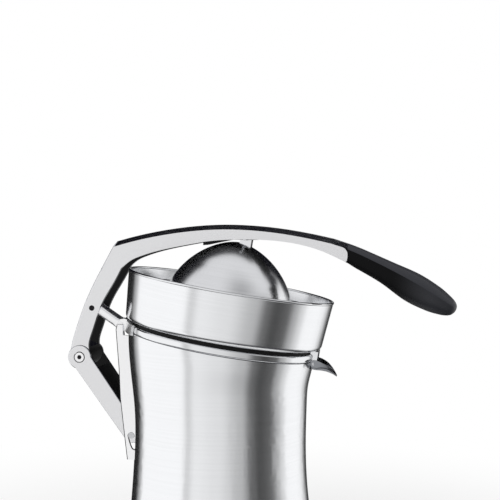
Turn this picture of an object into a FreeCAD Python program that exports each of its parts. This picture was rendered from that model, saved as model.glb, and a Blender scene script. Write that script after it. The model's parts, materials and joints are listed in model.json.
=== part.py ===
import FreeCAD, Part
import math
import os

# Citrus press: a waisted steel body carries a tilted juicing head, and a lever arm
# at the rear swings a press dome down over the cone. X points to the spout, Z is up,
# and the origin is on the counter under the middle of the body.

os.makedirs("parts", exist_ok=True)

V = FreeCAD.Vector

# General fits
running_fit = 0.05
free_gap = 0.3
seat_gap = 0.1

# Body, upright
foot_radius = 7.5
foot_height = 5.0
foot_circle = 62.0
plate_bottom = 3.5
plate_thickness = 3.5
trim_bottom = 2.5
trim_top = 10.0
trim_radius = 78.6
trim_wall = 4.8
shell_wall = 1.2
shell_foot_radius = 77.4
shell_knee_height = 45.0
shell_knee_radius = 71.6
shell_waist_height = 100.0
shell_waist_radius = 67.8
shell_neck_height = 134.0
shell_neck_radius = 68.5
vent_length = 26.0
vent_width = 3.0

# Head, measured along its tilted axis from the tilt centre
head_tilt = 9.7
head_height = 174.0
shell_top = 5.6
shell_top_radius = 74.2
shell_shoulder = -7.0
shell_shoulder_radius = 72.9
deck_thickness = 3.4
deck_radius = 72.0
collar_radius = 74.5
collar_wall = 7.5
collar_height = 6.0
seat_radius = 72.6
seat_width = 6.0

# Juice bowl
bowl_bottom = 14.3
bowl_bottom_radius = 78.6
bowl_corner = 4.5
bowl_rim = 52.6
bowl_rim_radius = 81.8
bowl_wall = 1.2
bowl_tube_radius = 15.4
bowl_tube_top = 29.4
chute_half_width = 11.0
chute_start = 54.0
chute_end = 77.2
chute_bottom = 2.4
chute_margin = 2.0

# Spout
spout_wall = 1.1
spout_tip = 94.0
spout_pivot_u = 75.2
spout_pivot_w = 4.8
spout_pin_radius = 1.2

# Tower, shaft and cone
tower_radius = 11.0
tower_bore = 7.5
tower_top = 29.0
bush_length = 8.0
shaft_radius = 5.0
shaft_flats = 8.0
shaft_top = 62.0
shaft_bottom = -12.0
shaft_flange_radius = 7.0
shaft_flange = 2.2
flat_fit = 0.1
spring_wire = 1.0
spring_turns = 7
cone_base = 36.0
cone_top = 81.0
cone_radius = 35.0
cone_core_radius = 27.0
cone_fin = 3.2
cone_skirt_radius = 14.2
cone_skirt_wall = 1.6
cone_skirt_bottom = 21.0

# Filter
filter_rim = 46.0
filter_fit = 0.8
filter_floor = 29.5
filter_floor_radius = 66.0
filter_sheet = 0.9
filter_wall_foot = 65.0
filter_hub_radius = 15.0
filter_slots = 36
filter_slot_width = 2.2

# Gear train and motor
gear_module = 1.0
small_teeth = 12
large_teeth = 48
gear_face = 7.5
drive_gear_bottom = -13.0
cluster_gear_bottom = -24.0
gear_hub_radius = 9.0
deck_boss_wall = 4.0
deck_boss_bottom = -3.6
housing_floor = -29.0
housing_wall = 2.2
gear_side_gap = 2.2
axle_radius = 2.5
motor_radius = 30.0
motor_length = 58.0
motor_wall = 1.6
motor_shaft_radius = 2.5
rotor_radius = 19.0

# Rear spine and hinge bracket
spine_half_width = 22.7
spine_wall = 3.0
spine_floor = -56.0
spine_bottom = 90.0
backing_thickness = 3.0
hinge_x = -100.7
hinge_z = 208.0
hinge_pin_radius = 2.2
bracket_half_width = 8.2
bracket_boss_radius = 4.5
bracket_bar_half = 4.0
bracket_knee_x = -80.5
bracket_knee_z = 194.6
yoke_half_angle = 33.0
yoke_sheet = 2.2
yoke_bottom = 4.5
yoke_top = 12.5
screw_radius = 2.0
screw_head_radius = 3.6
screw_head = 2.4

# Lever arm
arm_half_width = 16.0
arm_plate = 3.8
arm_roof = 3.4
arm_chamfer_in = 2.8
arm_chamfer_down = 3.8
arm_edge = 1.2
arm_boss_radius = 8.6
arm_end_x = 96.0
tang_length = 46.0
tang_half_width = 8.0
tang_half_height = 4.0
cover_inset = 1.0
cover_thickness = 1.8

# Lower link
knuckle_x = -110.0
knuckle_z = 169.2
link_length = 74.0
link_slope = -54.6
link_half_depth = 7.8
link_boss_radius = 9.3
link_foot_radius = 6.6
link_plate = 2.8
link_web = 2.6
knuckle_screw_radius = 2.5
knuckle_head_radius = 4.4
knuckle_head = 1.7
guide_pin_radius = 2.5
arm_travel = 53.6
link_travel = -81.3

# Press dome
dome_radius = 50.0
dome_depth = 48.0
dome_rim = 39.5
dome_wall = 1.4
dome_bead = 1.3
dome_fullness = 1.7
dome_pin_u = 6.0
dome_pin_w = 91.5
dome_pin_radius = 1.6
stem_half_length = 4.5
stem_half_width = 5.0

# Grip
grip_wall_fit = 0.2
grip_half_width = 15.0


def prism(points, y_start, y_end):
    """Extrude a closed outline, given as X and Z pairs, along Y."""
    corners = [V(x, y_start, z) for x, z in points]
    corners.append(corners[0])
    face = Part.Face(Part.makePolygon(corners))
    return face.extrude(V(0, y_end - y_start, 0))


def plan(points, z_start, z_end):
    """Extrude a closed outline, given as X and Y pairs, along Z."""
    corners = [V(x, y, z_start) for x, y in points]
    corners.append(corners[0])
    face = Part.Face(Part.makePolygon(corners))
    return face.extrude(V(0, 0, z_end - z_start))


def box(x0, x1, y0, y1, z0, z1):
    """A box between two corners."""
    return Part.makeBox(x1 - x0, y1 - y0, z1 - z0, V(x0, y0, z0))


def disc(radius, z0, z1, x=0.0, y=0.0):
    """An upright cylinder."""
    return Part.makeCylinder(radius, z1 - z0, V(x, y, z0))


def tube(outer, inner, z0, z1):
    """An upright tube."""
    return disc(outer, z0, z1).cut(disc(inner, z0 - 1, z1 + 1))


def cross_rod(radius, x, z, y0, y1):
    """A cylinder along Y."""
    return Part.makeCylinder(radius, y1 - y0, V(x, y0, z), V(0, 1, 0))


def spin(points):
    """Turn a closed outline of radius and height pairs about Z."""
    corners = [V(r, 0, z) for r, z in points]
    corners.append(corners[0])
    return Part.Face(Part.makePolygon(corners)).revolve(V(0, 0, 0), V(0, 0, 1), 360)


def spline(points):
    """A smooth edge through X and Z pairs at Y = 0."""
    curve = Part.BSplineCurve()
    curve.interpolate([V(x, 0, z) for x, z in points])
    return curve.toShape()


def offset(points, distance):
    """Move a chain of X and Z pairs sideways, to its left for a positive distance."""
    moved = []
    for i, (x, z) in enumerate(points):
        ax, az = points[max(i - 1, 0)]
        bx, bz = points[min(i + 1, len(points) - 1)]
        length = math.hypot(bx - ax, bz - az)
        moved.append((x - (bz - az) / length * distance, z + (bx - ax) / length * distance))
    return moved


def band(points, near, far, half_width):
    """A plate of constant width that follows a chain of points between two offsets."""
    lower = offset(points, near)
    upper = offset(points, far)
    first = spline(lower)
    second = spline(upper)
    start = Part.makeLine(V(lower[0][0], 0, lower[0][1]), V(upper[0][0], 0, upper[0][1]))
    end = Part.makeLine(V(lower[-1][0], 0, lower[-1][1]), V(upper[-1][0], 0, upper[-1][1]))
    face = Part.Face(Part.Wire(Part.__sortEdges__([first, end, second, start])))
    face.translate(V(0, -half_width, 0))
    return face.extrude(V(0, 2 * half_width, 0))


def bar(x0, z0, x1, z1, half, y0, y1):
    """A straight bar with round ends, along Y from y0 to y1."""
    length = math.hypot(x1 - x0, z1 - z0)
    nx = -(z1 - z0) / length * half
    nz = (x1 - x0) / length * half
    outline = [(x0 + nx, z0 + nz), (x1 + nx, z1 + nz), (x1 - nx, z1 - nz), (x0 - nx, z0 - nz)]
    body = prism(outline, y0, y1)
    ends = [cross_rod(half, x0, z0, y0, y1), cross_rod(half, x1, z1, y0, y1)]
    return body.fuse(ends).removeSplitter()


def hexagon(flats, z0, z1):
    """An upright hexagonal bar."""
    corner = flats / 2 / math.cos(math.pi / 6)
    points = [(corner * math.cos(k * math.pi / 3), corner * math.sin(k * math.pi / 3)) for k in range(6)]
    return plan(points, z0, z1)


def gear(teeth, z0, z1, phase):
    """A spur gear with straight-sided teeth; one tooth points to the phase angle."""
    pitch_radius = gear_module * teeth / 2
    root = pitch_radius - 1.1 * gear_module
    tip = pitch_radius + 0.8 * gear_module
    step = 2 * math.pi / teeth
    points = []
    for k in range(teeth):
        middle = math.radians(phase) + k * step
        for radius, share in ((root, -0.27), (tip, -0.10), (tip, 0.10), (root, 0.27)):
            angle = middle + share * step
            points.append((radius * math.cos(angle), radius * math.sin(angle)))
    return plan(points, z0, z1)


def rounded(shape, radius, wanted):
    """Fillet the edges that a test picks."""
    edges = [edge for edge in shape.Edges if wanted(edge)]
    return shape.makeFillet(radius, edges)


def on_head(shape):
    """Place a piece that was made upright about the head axis."""
    placed = shape.copy()
    placed.rotate(V(0, 0, 0), V(0, 1, 0), head_tilt)
    placed.translate(V(0, 0, head_height))
    return placed


def screw(x, y, z, axis, length):
    """A cap screw whose head sits on the given point, with its shank along the axis."""
    head = Part.makeCylinder(screw_head_radius, screw_head, V(x, y, z), V(-axis.x, -axis.y, -axis.z))
    shank = Part.makeCylinder(screw_radius, length, V(x, y, z), axis)
    socket = Part.makeCylinder(screw_radius * 0.6, screw_head * 0.6,
                               V(x, y, z) - axis * screw_head, axis)
    return head.fuse(shank).cut(socket).removeSplitter()


def around(radius, count, start):
    """Points on a circle about Z."""
    angles = [math.radians(start + 360.0 / count * k) for k in range(count)]
    return [(radius * math.cos(a), radius * math.sin(a)) for a in angles]


def swung(x, z, about_x, about_z, degrees):
    """Turn a point in the XZ plane so that a positive angle lifts the front."""
    c = math.cos(math.radians(degrees))
    s = math.sin(math.radians(degrees))
    dx = x - about_x
    dz = z - about_z
    return about_x + dx * c - dz * s, about_z + dx * s + dz * c


def save(name, shape):
    """Write one piece."""
    if not shape.isValid():
        print("not valid:", name)
    shape.exportStep("parts/" + name + ".step")


# Feet, base plate and trim ring
foot_spots = around(foot_circle, 4, 45) + [(0.0, 0.0)]
feet = [rounded(disc(foot_radius, 0, foot_height, x, y), 1.0, lambda e: e.Closed and e.BoundBox.ZMax < 0.1)
        for x, y in foot_spots]
save("rubber_feet", Part.makeCompound(feet))

trim_inner = trim_radius - trim_wall
plate_top = plate_bottom + plate_thickness
base_plate = disc(trim_inner - free_gap, plate_bottom, plate_top)
for x, y in foot_spots:
    base_plate = base_plate.cut(disc(foot_radius + seat_gap, plate_bottom - 1, foot_height, x, y))
screw_spots = around(foot_circle, 4, 0)
for x, y in screw_spots:
    base_plate = base_plate.cut(disc(screw_radius + running_fit, plate_bottom - 1, plate_top + 1, x, y))
    base_plate = base_plate.cut(disc(screw_head_radius + seat_gap, plate_bottom - 1,
                                     plate_bottom + screw_head * 0.6, x, y))
for k in (-4, -3, -2, 2, 3, 4):
    slot_y = k * 2 * foot_radius / 2.5
    base_plate = base_plate.cut(box(-vent_length / 2, vent_length / 2, slot_y - vent_width / 2,
                                    slot_y + vent_width / 2, plate_bottom - 1, plate_top + 1))
save("base_plate", base_plate)

trim = disc(trim_radius, trim_bottom, trim_top).cut(disc(trim_inner, trim_bottom - 1, trim_top + 1))
trim = rounded(trim, 1.6, lambda e: e.Closed and e.BoundBox.XMax > trim_radius - 0.1)
ledge_width = trim_inner - foot_circle + 5.5
ledge = tube(trim_inner, trim_inner - ledge_width, plate_top, trim_top)
for x, y in screw_spots:
    ledge = ledge.cut(disc(screw_radius, plate_top - 1, trim_top + 1, x, y))
save("base_trim", trim.fuse(ledge).removeSplitter())

base_screws = [screw(x, y, plate_bottom + screw_head * 0.6, V(0, 0, 1),
                     trim_top - plate_bottom - screw_head * 0.6) for x, y in screw_spots]
save("base_screws", Part.makeCompound(base_screws))

# Body shell: upright rings that lean over to the head's tilt at the top
tilt = math.radians(head_tilt)


def ring(x, z, radius, degrees):
    """A circle about a leaning axis."""
    axis = V(math.sin(math.radians(degrees)), 0, math.cos(math.radians(degrees)))
    return Part.Wire(Part.makeCircle(radius, V(x, 0, z), axis))


def shell_rings(inset, extra):
    """The body's section circles, made smaller by the inset and longer by the extra."""
    shoulder_x = shell_shoulder * math.sin(tilt)
    shoulder_z = head_height + shell_shoulder * math.cos(tilt)
    top_x = (shell_top + extra) * math.sin(tilt)
    top_z = head_height + (shell_top + extra) * math.cos(tilt)
    lean_z = shell_neck_height + 18
    return [
        ring(0, trim_top - extra, shell_foot_radius - inset, 0),
        ring(0, shell_knee_height, shell_knee_radius - inset, 0),
        ring(0, shell_waist_height, shell_waist_radius - inset, 0),
        ring(0, shell_neck_height, shell_neck_radius - inset, 1.5),
        ring(-0.8, lean_z, shell_neck_radius + 1.9 - inset, 5.5),
        ring(shoulder_x + 0.6, shoulder_z, shell_shoulder_radius - inset, head_tilt),
        ring(top_x, top_z, shell_top_radius - inset, head_tilt),
    ]


spine_inner = spine_half_width - spine_wall
spine_cut = box(-120, spine_floor + backing_thickness + free_gap, -spine_half_width - seat_gap,
                spine_half_width + seat_gap, spine_bottom - seat_gap, head_height + 60)
gland_x = -60.0
gland_z = 24.0
gland_radius = 6.0
notch_half = chute_half_width + chute_margin
chute_notch = on_head(box(chute_start - chute_margin, 130, -notch_half, notch_half,
                          chute_bottom - chute_margin, bowl_bottom))
shell_outer = Part.makeLoft(shell_rings(0, 0), True, False)
shell_inner = Part.makeLoft(shell_rings(shell_wall, 0.5), True, False)
shell = shell_outer.cut(shell_inner)
shell = shell.cut(spine_cut).cut(chute_notch)
shell = shell.cut(Part.makeCylinder(gland_radius + seat_gap, 60, V(gland_x, 0, gland_z), V(-1, 0, 0)))
save("body_shell", shell)

gland_outer_x = -84.0
gland = Part.makeCylinder(gland_radius, gland_x - gland_outer_x, V(gland_x, 0, gland_z), V(-1, 0, 0))
gland = gland.fuse(Part.makeCylinder(gland_radius + 2, 3, V(gland_x, 0, gland_z), V(-1, 0, 0)))
gland = gland.cut(Part.makeCylinder(gland_radius / 2, 60, V(gland_x + 10, 0, gland_z), V(-1, 0, 0)))
save("cord_gland", gland.removeSplitter())

# Deck with the shaft tower, on the head
deck_bottom = shell_top - deck_thickness
spine_clear = box(-120, spine_floor + backing_thickness + 1, -spine_half_width - free_gap,
                  spine_half_width + free_gap, 0, 189.2)
deck = disc(deck_radius, deck_bottom, shell_top)
deck = deck.fuse(disc(tower_radius, shell_top, tower_top))
deck = deck.fuse(disc(gear_hub_radius + deck_boss_wall, deck_boss_bottom, deck_bottom))
pocket_bottom = chute_bottom - chute_margin
pocket = box(chute_start - 2 * chute_margin, 71, -notch_half - chute_margin, notch_half + chute_margin,
             pocket_bottom - chute_margin, deck_bottom)
inner_pocket = box(chute_start - chute_margin, 90, -notch_half, notch_half, pocket_bottom, bowl_bottom)
deck = deck.fuse(pocket.common(disc(deck_radius - 1.5, -40, 40))).cut(inner_pocket)
deck = deck.cut(disc(gear_hub_radius + running_fit, deck_boss_bottom - 1, deck_bottom))
deck = deck.cut(disc(tower_bore, deck_bottom - 0.5, tower_top + 1))
deck_screw_spots = around(deck_radius - 8, 4, 45)
for x, y in deck_screw_spots:
    deck = deck.cut(disc(screw_radius + running_fit, deck_bottom - 1, shell_top + 1, x, y))
save("motor_deck", on_head(deck.removeSplitter()).cut(spine_clear))

deck_screws = [screw(x, y, deck_bottom, V(0, 0, 1), deck_thickness + collar_height * 0.6)
               for x, y in deck_screw_spots]
save("deck_screws", on_head(Part.makeCompound(deck_screws)))

# Polished collar and the soft seat under the bowl
collar_top = shell_top + collar_height
collar = tube(collar_radius, collar_radius - collar_wall - 5, shell_top, collar_top)
collar = rounded(collar, 1.8, lambda e: e.Closed and e.BoundBox.XMax > collar_radius - 0.1)
collar = collar.cut(box(chute_start, 90, -notch_half, notch_half, 0, 30))
for x, y in deck_screw_spots:
    collar = collar.cut(disc(screw_radius, shell_top - 1, shell_top + collar_height * 0.6, x, y))
bracket_screw_spots = (-4.2, 4.2)
for y in bracket_screw_spots:
    hole = Part.makeCylinder(screw_radius, 9, V(-collar_radius - 1, y, shell_top + 3.1), V(1, 0, 0))
    collar = collar.cut(hole)
save("top_collar", on_head(collar))

seat = tube(seat_radius, seat_radius - seat_width, collar_top, bowl_bottom - seat_gap)
seat = seat.cut(box(chute_start, 90, -notch_half, notch_half, 0, 30))
save("bowl_seat", on_head(seat))

# Juice bowl: wall, floor, centre tube and outlet chute

def bowl_outline(inset):
    """Half section of the bowl's outside, moved inwards by the inset."""
    corner = bowl_corner - inset
    points = [(0, bowl_bottom + inset)]
    centre_r = bowl_bottom_radius - bowl_corner
    centre_z = bowl_bottom + bowl_corner
    for k in range(7):
        angle = math.radians(-90 + 15 * k)
        points.append((centre_r + corner * math.cos(angle), centre_z + corner * math.sin(angle)))
    top = bowl_rim + inset
    points.append((bowl_rim_radius - inset, top))
    points.append((0, top))
    return points


bowl = spin(bowl_outline(0)).cut(spin(bowl_outline(bowl_wall)))
lip = Part.makeTorus(bowl_rim_radius - bowl_wall / 2, bowl_wall * 0.8, V(0, 0, bowl_rim))
bowl = bowl.fuse(lip)
tube_outer = bowl_tube_radius + bowl_wall
bowl = bowl.fuse(disc(tube_outer, bowl_bottom, bowl_tube_top))
bowl = bowl.cut(disc(bowl_tube_radius, bowl_bottom - 1, bowl_tube_top + 1))
chute = box(chute_start, chute_end, -chute_half_width, chute_half_width, chute_bottom, bowl_bottom)
bowl = bowl.fuse(chute)
inner_half = chute_half_width - bowl_wall
bowl = bowl.cut(box(chute_start + bowl_wall, chute_end + 1, -inner_half, inner_half,
                    chute_bottom + bowl_wall, bowl_bottom - bowl_wall))
bowl = bowl.cut(box(chute_start + bowl_wall, bowl_bottom_radius - bowl_corner - 2, -inner_half, inner_half,
                    bowl_bottom - bowl_wall - 1, bowl_bottom + bowl_wall + 0.5))
for y in (-chute_half_width - 1, inner_half - 1):
    bowl = bowl.cut(cross_rod(spout_pin_radius, spout_pivot_u, spout_pivot_w, y, y + bowl_wall + 2))
save("juice_bowl", on_head(bowl.removeSplitter()))

# Pouring spout that flips up to stop drips
spout_half = chute_half_width + free_gap + spout_wall
spout_side = [(72.0, 7.0), (73.6, 7.8), (77.0, 7.8), (81.0, 7.1), (85.2, 5.6), (88.9, 2.9), (91.6, 0.4),
              (spout_tip, -2.4), (90.6, -1.5), (86.0, -0.2), (81.0, 0.1), (74.6, 0.1), (72.0, 2.6)]
spout_plan = [(70, -spout_half), (85, -spout_half), (90.5, -spout_half * 0.72), (spout_tip, -spout_half * 0.4),
              (spout_tip, spout_half * 0.4), (90.5, spout_half * 0.72), (85, spout_half), (70, spout_half)]
inner = spout_half - spout_wall
hollow_side = [(70, 0.1 + spout_wall), (81.0, 0.1 + spout_wall), (86.0, 0.8), (90.6, -0.5),
               (spout_tip + 1, -1.9), (spout_tip + 1, 20), (70, 20)]
hollow_plan = [(69, -inner), (84.6, -inner), (89.6, -inner * 0.72), (spout_tip + 1, -inner * 0.36),
               (spout_tip + 1, inner * 0.36), (89.6, inner * 0.72), (84.6, inner), (69, inner)]
spout = prism(spout_side, -spout_half, spout_half).common(plan(spout_plan, -20, 20))
spout = spout.cut(prism(hollow_side, -spout_half, spout_half).common(plan(hollow_plan, -20, 21)))
spout = spout.cut(cross_rod(spout_pin_radius + running_fit, spout_pivot_u, spout_pivot_w, -20, 20))
save("spout", on_head(spout))

pin_length = spout_half - inner_half
spout_pins = [cross_rod(spout_pin_radius, spout_pivot_u, spout_pivot_w, y, y + pin_length)
              for y in (-spout_half, inner_half)]
save("spout_pins", on_head(Part.makeCompound(spout_pins)))

# Filter: a slotted floor plate, and the sloping wall that it is clipped into
wall_top = filter_rim - 2
bowl_corner_top = bowl_bottom + bowl_corner
bowl_flare = (bowl_rim_radius - bowl_bottom_radius) / (bowl_rim - bowl_corner_top)
filter_rim_radius = bowl_bottom_radius + bowl_flare * (wall_top - bowl_corner_top) - bowl_wall - filter_fit
floor_top = filter_floor + filter_sheet
floor_plate = tube(filter_wall_foot - seat_gap, filter_hub_radius, filter_floor, floor_top)
slot_rows = ((filter_hub_radius + 9, 13.0), (filter_floor_radius - 24, 18.0))
slots = []
for start, length in slot_rows:
    one = box(start, start + length, -filter_slot_width / 2, filter_slot_width / 2,
              filter_floor - 1, floor_top + 1)
    for k in range(filter_slots):
        turned = one.copy()
        turned.rotate(V(0, 0, 0), V(0, 0, 1), 360.0 / filter_slots * k)
        slots.append(turned)
floor_plate = floor_plate.cut(Part.makeCompound(slots))
foot_ring = tube(tube_outer + free_gap + filter_sheet, tube_outer + free_gap, bowl_tube_top - 5, floor_top)
save("filter_basket", on_head(floor_plate.fuse(foot_ring).removeSplitter()))

filter_side = spin([
    (filter_wall_foot, filter_floor), (filter_floor_radius, filter_floor), (filter_rim_radius - 3, wall_top),
    (filter_rim_radius, wall_top), (filter_rim_radius, wall_top + filter_sheet),
    (filter_rim_radius - 3 - filter_sheet, wall_top + filter_sheet), (filter_wall_foot, floor_top)])
save("filter_wall", on_head(filter_side))

# Juicing cone with four fins and four low ribs
cone_height = cone_top - cone_base


def cone_section(radius):
    """Half section of a rounded cone."""
    points = [(0, cone_base), (radius, cone_base)]
    for k in range(1, 9):
        share = k / 9.0
        points.append((radius * math.sqrt(1 - share) * (1 - 0.25 * share) + 1.5 * share,
                       cone_base + cone_height * share))
    points.append((0, cone_top))
    return points


cone = spin(cone_section(cone_core_radius))
envelope = spin(cone_section(cone_radius))
for k in range(4):
    blade = box(0, cone_radius + 5, -cone_fin / 2, cone_fin / 2, cone_base, cone_top)
    blade.rotate(V(0, 0, 0), V(0, 0, 1), 90.0 * k)
    cone = cone.fuse(blade.common(envelope))
low_envelope = spin(cone_section((cone_core_radius + cone_radius) / 2))
for k in range(4):
    blade = box(0, cone_radius + 5, -cone_fin / 2, cone_fin / 2, cone_base, cone_base + cone_height * 0.75)
    blade.rotate(V(0, 0, 0), V(0, 0, 1), 90.0 * k + 45)
    cone = cone.fuse(blade.common(low_envelope))
cone = cone.fuse(disc(cone_radius + 1.5, cone_base - 2.4, cone_base))
cone = cone.fuse(tube(cone_skirt_radius, cone_skirt_radius - cone_skirt_wall, cone_skirt_bottom, cone_base))
cone = cone.cut(hexagon(shaft_flats + 2 * flat_fit, cone_base - 5, shaft_top + 0.4))
save("juicing_cone", on_head(cone.removeSplitter()))

# Drive shaft, bush, seal and return spring
bush_bottom = tower_top - bush_length - 1.5
bush_top = tower_top - 1.5
bush = tube(tower_bore, shaft_radius + running_fit, bush_bottom, bush_top)
save("shaft_bush", on_head(bush))
seal = tube(tower_bore, shaft_radius + running_fit, bush_top, tower_top)
save("shaft_seal", on_head(seal))
flange_top = bush_bottom - free_gap
flange_bottom = flange_top - shaft_flange
shaft_round_top = cone_base - 3.0
shaft = hexagon(shaft_flats, shaft_bottom, shaft_top)
shaft = shaft.fuse(disc(shaft_radius, flange_bottom, shaft_round_top))
shaft = shaft.fuse(disc(shaft_flange_radius, flange_bottom, flange_top))
save("drive_shaft", on_head(shaft.removeSplitter()))

hub_top = deck_bottom - 0.2
spring_bottom = deck_bottom + free_gap
spring_radius = shaft_radius + spring_wire / 2 + 0.5
spring_height = flange_bottom - spring_bottom - spring_wire - 0.2
helix = Part.makeHelix(spring_height / spring_turns, spring_height, spring_radius)
helix.translate(V(0, 0, spring_bottom + spring_wire / 2 + 0.1))
start = helix.Vertexes[0].Point
profile = Part.Wire(Part.makeCircle(spring_wire / 2, start, V(0, 1, 0)))
press_spring = Part.Wire(helix).makePipeShell([profile], True, True)
save("press_spring", on_head(press_spring))

# Two-stage gear train on the head axis
centre_distance = gear_module * (small_teeth + large_teeth) / 2
half_step = 180.0 / large_teeth
drive_gear = gear(large_teeth, drive_gear_bottom, drive_gear_bottom + gear_face, 90 + half_step)
drive_gear = drive_gear.fuse(disc(gear_hub_radius, drive_gear_bottom, hub_top))
drive_gear = drive_gear.cut(hexagon(shaft_flats + 2 * flat_fit, drive_gear_bottom - 1, hub_top + 1))
save("drive_gear", on_head(drive_gear.removeSplitter()))

cluster_small_top = drive_gear_bottom + gear_face + 1
cluster = gear(large_teeth, cluster_gear_bottom, cluster_gear_bottom + gear_face, 270 + half_step)
cluster = cluster.fuse(gear(small_teeth, cluster_gear_bottom + gear_face, cluster_small_top, 270))
cluster = cluster.cut(disc(axle_radius + running_fit, cluster_gear_bottom - 1, cluster_small_top + 1))
cluster.translate(V(0, centre_distance, 0))
save("gear_cluster", on_head(cluster.removeSplitter()))

axle = disc(axle_radius, housing_floor, deck_bottom, 0, centre_distance)
axle = axle.fuse(disc(axle_radius + 2, housing_floor + housing_wall, cluster_gear_bottom - 0.2,
                      0, centre_distance))
save("cluster_axle", on_head(axle))

gear_tip = gear_module * (large_teeth / 2 + 0.8)
case_inner = gear_tip + gear_side_gap
case_outer = case_inner + housing_wall


def oblong(radius, z0, z1):
    """An upright block around both gear axes."""
    whole = disc(radius, z0, z1).fuse(disc(radius, z0, z1, 0, centre_distance))
    return whole.fuse(box(-radius, radius, 0, centre_distance, z0, z1)).removeSplitter()


housing = oblong(case_outer, housing_floor, deck_bottom)
housing = housing.cut(oblong(case_inner, housing_floor + housing_wall, deck_bottom + 1))
housing = housing.cut(disc(axle_radius, housing_floor - 1, 0, 0, centre_distance))
housing = housing.cut(disc(motor_shaft_radius + free_gap, housing_floor - 1, 0))
save("gearbox_housing", on_head(housing))

# Motor under the gearbox
motor_top = housing_floor
motor_bottom = motor_top - motor_length
can = disc(motor_radius, motor_bottom, motor_top)
can = can.cut(disc(motor_radius - motor_wall, motor_bottom + motor_wall, motor_top - motor_wall))
can = can.cut(disc(motor_shaft_radius + running_fit, motor_bottom - 1, motor_top + 1))
save("motor_can", on_head(can))
stator = tube(motor_radius - motor_wall, rotor_radius + 0.8, motor_bottom + 8, motor_top - 8)
save("motor_stator", on_head(stator))
pinion_top = cluster_gear_bottom + gear_face
rotor = disc(rotor_radius, motor_bottom + 8, motor_top - 8)
rotor = rotor.fuse(disc(motor_shaft_radius, motor_bottom + 0.2, pinion_top))
rotor = rotor.fuse(gear(small_teeth, cluster_gear_bottom, pinion_top, 90))
save("motor_rotor", on_head(rotor.removeSplitter()))

# Rear spine: a deep channel let into the back of the shell
spine_top_z = 196.0
spine_side = [(spine_floor + backing_thickness, spine_bottom), (-70.6, spine_bottom), (-73.6, 115.0),
              (-76.2, 138.5), (-77.2, 161.4), (-79.6, spine_top_z - 4), (-78.6, spine_top_z),
              (-73.4, spine_top_z), (-72.8, 187.4), (spine_floor + backing_thickness, 184.6)]
spine = prism(spine_side, -spine_half_width, spine_half_width)
spine = rounded(spine, 1.2, lambda e: abs(e.CenterOfMass.y) > spine_half_width - 0.1
                and e.CenterOfMass.x < -70 and e.CenterOfMass.z > spine_bottom + 1)
spine = spine.cut(box(-120, spine_floor, -spine_inner, spine_inner, spine_bottom + 3, 240))

slope = math.radians(link_slope)
guide_x = knuckle_x + link_length * math.cos(slope)
guide_z = knuckle_z + link_length * math.sin(slope)


def guide_spot(share):
    """Where the link's lower pin lies when the arm has made this share of its travel."""
    px, pz = swung(knuckle_x, knuckle_z, hinge_x, hinge_z, arm_travel * share)
    gx, gz = swung(guide_x, guide_z, hinge_x, hinge_z, arm_travel * share)
    return swung(gx, gz, px, pz, link_travel * share)


guide_path = [guide_spot(k / 8.0) for k in range(9)]
slot_half = guide_pin_radius + free_gap
for (ax, az), (bx, bz) in zip(guide_path[:-1], guide_path[1:]):
    spine = spine.cut(bar(ax, az, bx, bz, slot_half, -spine_half_width - 1, spine_half_width + 1))
spine_screw_spots = [(y, z) for y in (-11.0, 11.0) for z in (134.0, 172.0)]
for y, z in spine_screw_spots:
    spine = spine.cut(Part.makeCylinder(screw_radius + running_fit, 20, V(spine_floor - 5, y, z), V(1, 0, 0)))
    spine = spine.cut(Part.makeCylinder(screw_head_radius + seat_gap, 20, V(spine_floor + 1.2, y, z), V(-1, 0, 0)))
save("rear_spine", spine)

backing_x = spine_floor + backing_thickness
backing = box(backing_x, backing_x + backing_thickness, -spine_inner, spine_inner, 120, 180)
for y, z in spine_screw_spots:
    backing = backing.cut(Part.makeCylinder(screw_radius, 30, V(spine_floor - 5, y, z), V(1, 0, 0)))
save("spine_backing", backing)
screw_seat = spine_floor + 1.2
head_low = 1.0
spine_screws = []
for y, z in spine_screw_spots:
    head = Part.makeCylinder(screw_head_radius, head_low, V(screw_seat, y, z), V(-1, 0, 0))
    shank = Part.makeCylinder(screw_radius, backing_x + backing_thickness - screw_seat, V(screw_seat, y, z), V(1, 0, 0))
    spine_screws.append(head.fuse(shank))
save("spine_screws", Part.makeCompound(spine_screws))

switch_block = box(backing_x + backing_thickness, backing_x + backing_thickness + 9, -10, 10, 140, 152)
switch_block = switch_block.fuse(box(backing_x + backing_thickness + 9, backing_x + backing_thickness + 11,
                                     -4, 4, 144, 148))
save("arm_switch", switch_block.removeSplitter())
cone_switch = box(case_outer + 0.1, case_outer + 8, -10, 10, deck_bottom - 13, deck_bottom)
save("press_switch", on_head(cone_switch))

# Hinge bracket on the back of the collar, and its pin
bracket = bar(hinge_x, hinge_z, bracket_knee_x, bracket_knee_z, bracket_bar_half,
              -bracket_half_width, bracket_half_width)
bracket = bracket.fuse(cross_rod(bracket_boss_radius, hinge_x, hinge_z, -bracket_half_width, bracket_half_width))
root_points = [(-73.1, 190.4), (-72.1, 197.8), (-76.0, 199.2), (bracket_knee_x - 1.0, 198.6),
               (bracket_knee_x - 1.0, 190.6)]
bracket = bracket.fuse(prism(root_points, -bracket_half_width, bracket_half_width)).removeSplitter()
bracket = bracket.cut(on_head(disc(collar_radius + seat_gap, -20, 13)))
yoke_inner = collar_radius + 2 * seat_gap
yoke = tube(yoke_inner + yoke_sheet, yoke_inner, yoke_bottom, yoke_top)
reach = 2 * collar_radius
spread = reach * math.tan(math.radians(yoke_half_angle))
yoke = yoke.common(plan([(0, 0), (-reach, -spread), (-reach, spread)], yoke_bottom - 1, yoke_top + 1))
bracket = bracket.fuse(on_head(yoke)).removeSplitter()
bracket = bracket.cut(cross_rod(hinge_pin_radius, hinge_x, hinge_z, -20, 20))
bracket_screws = []
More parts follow.
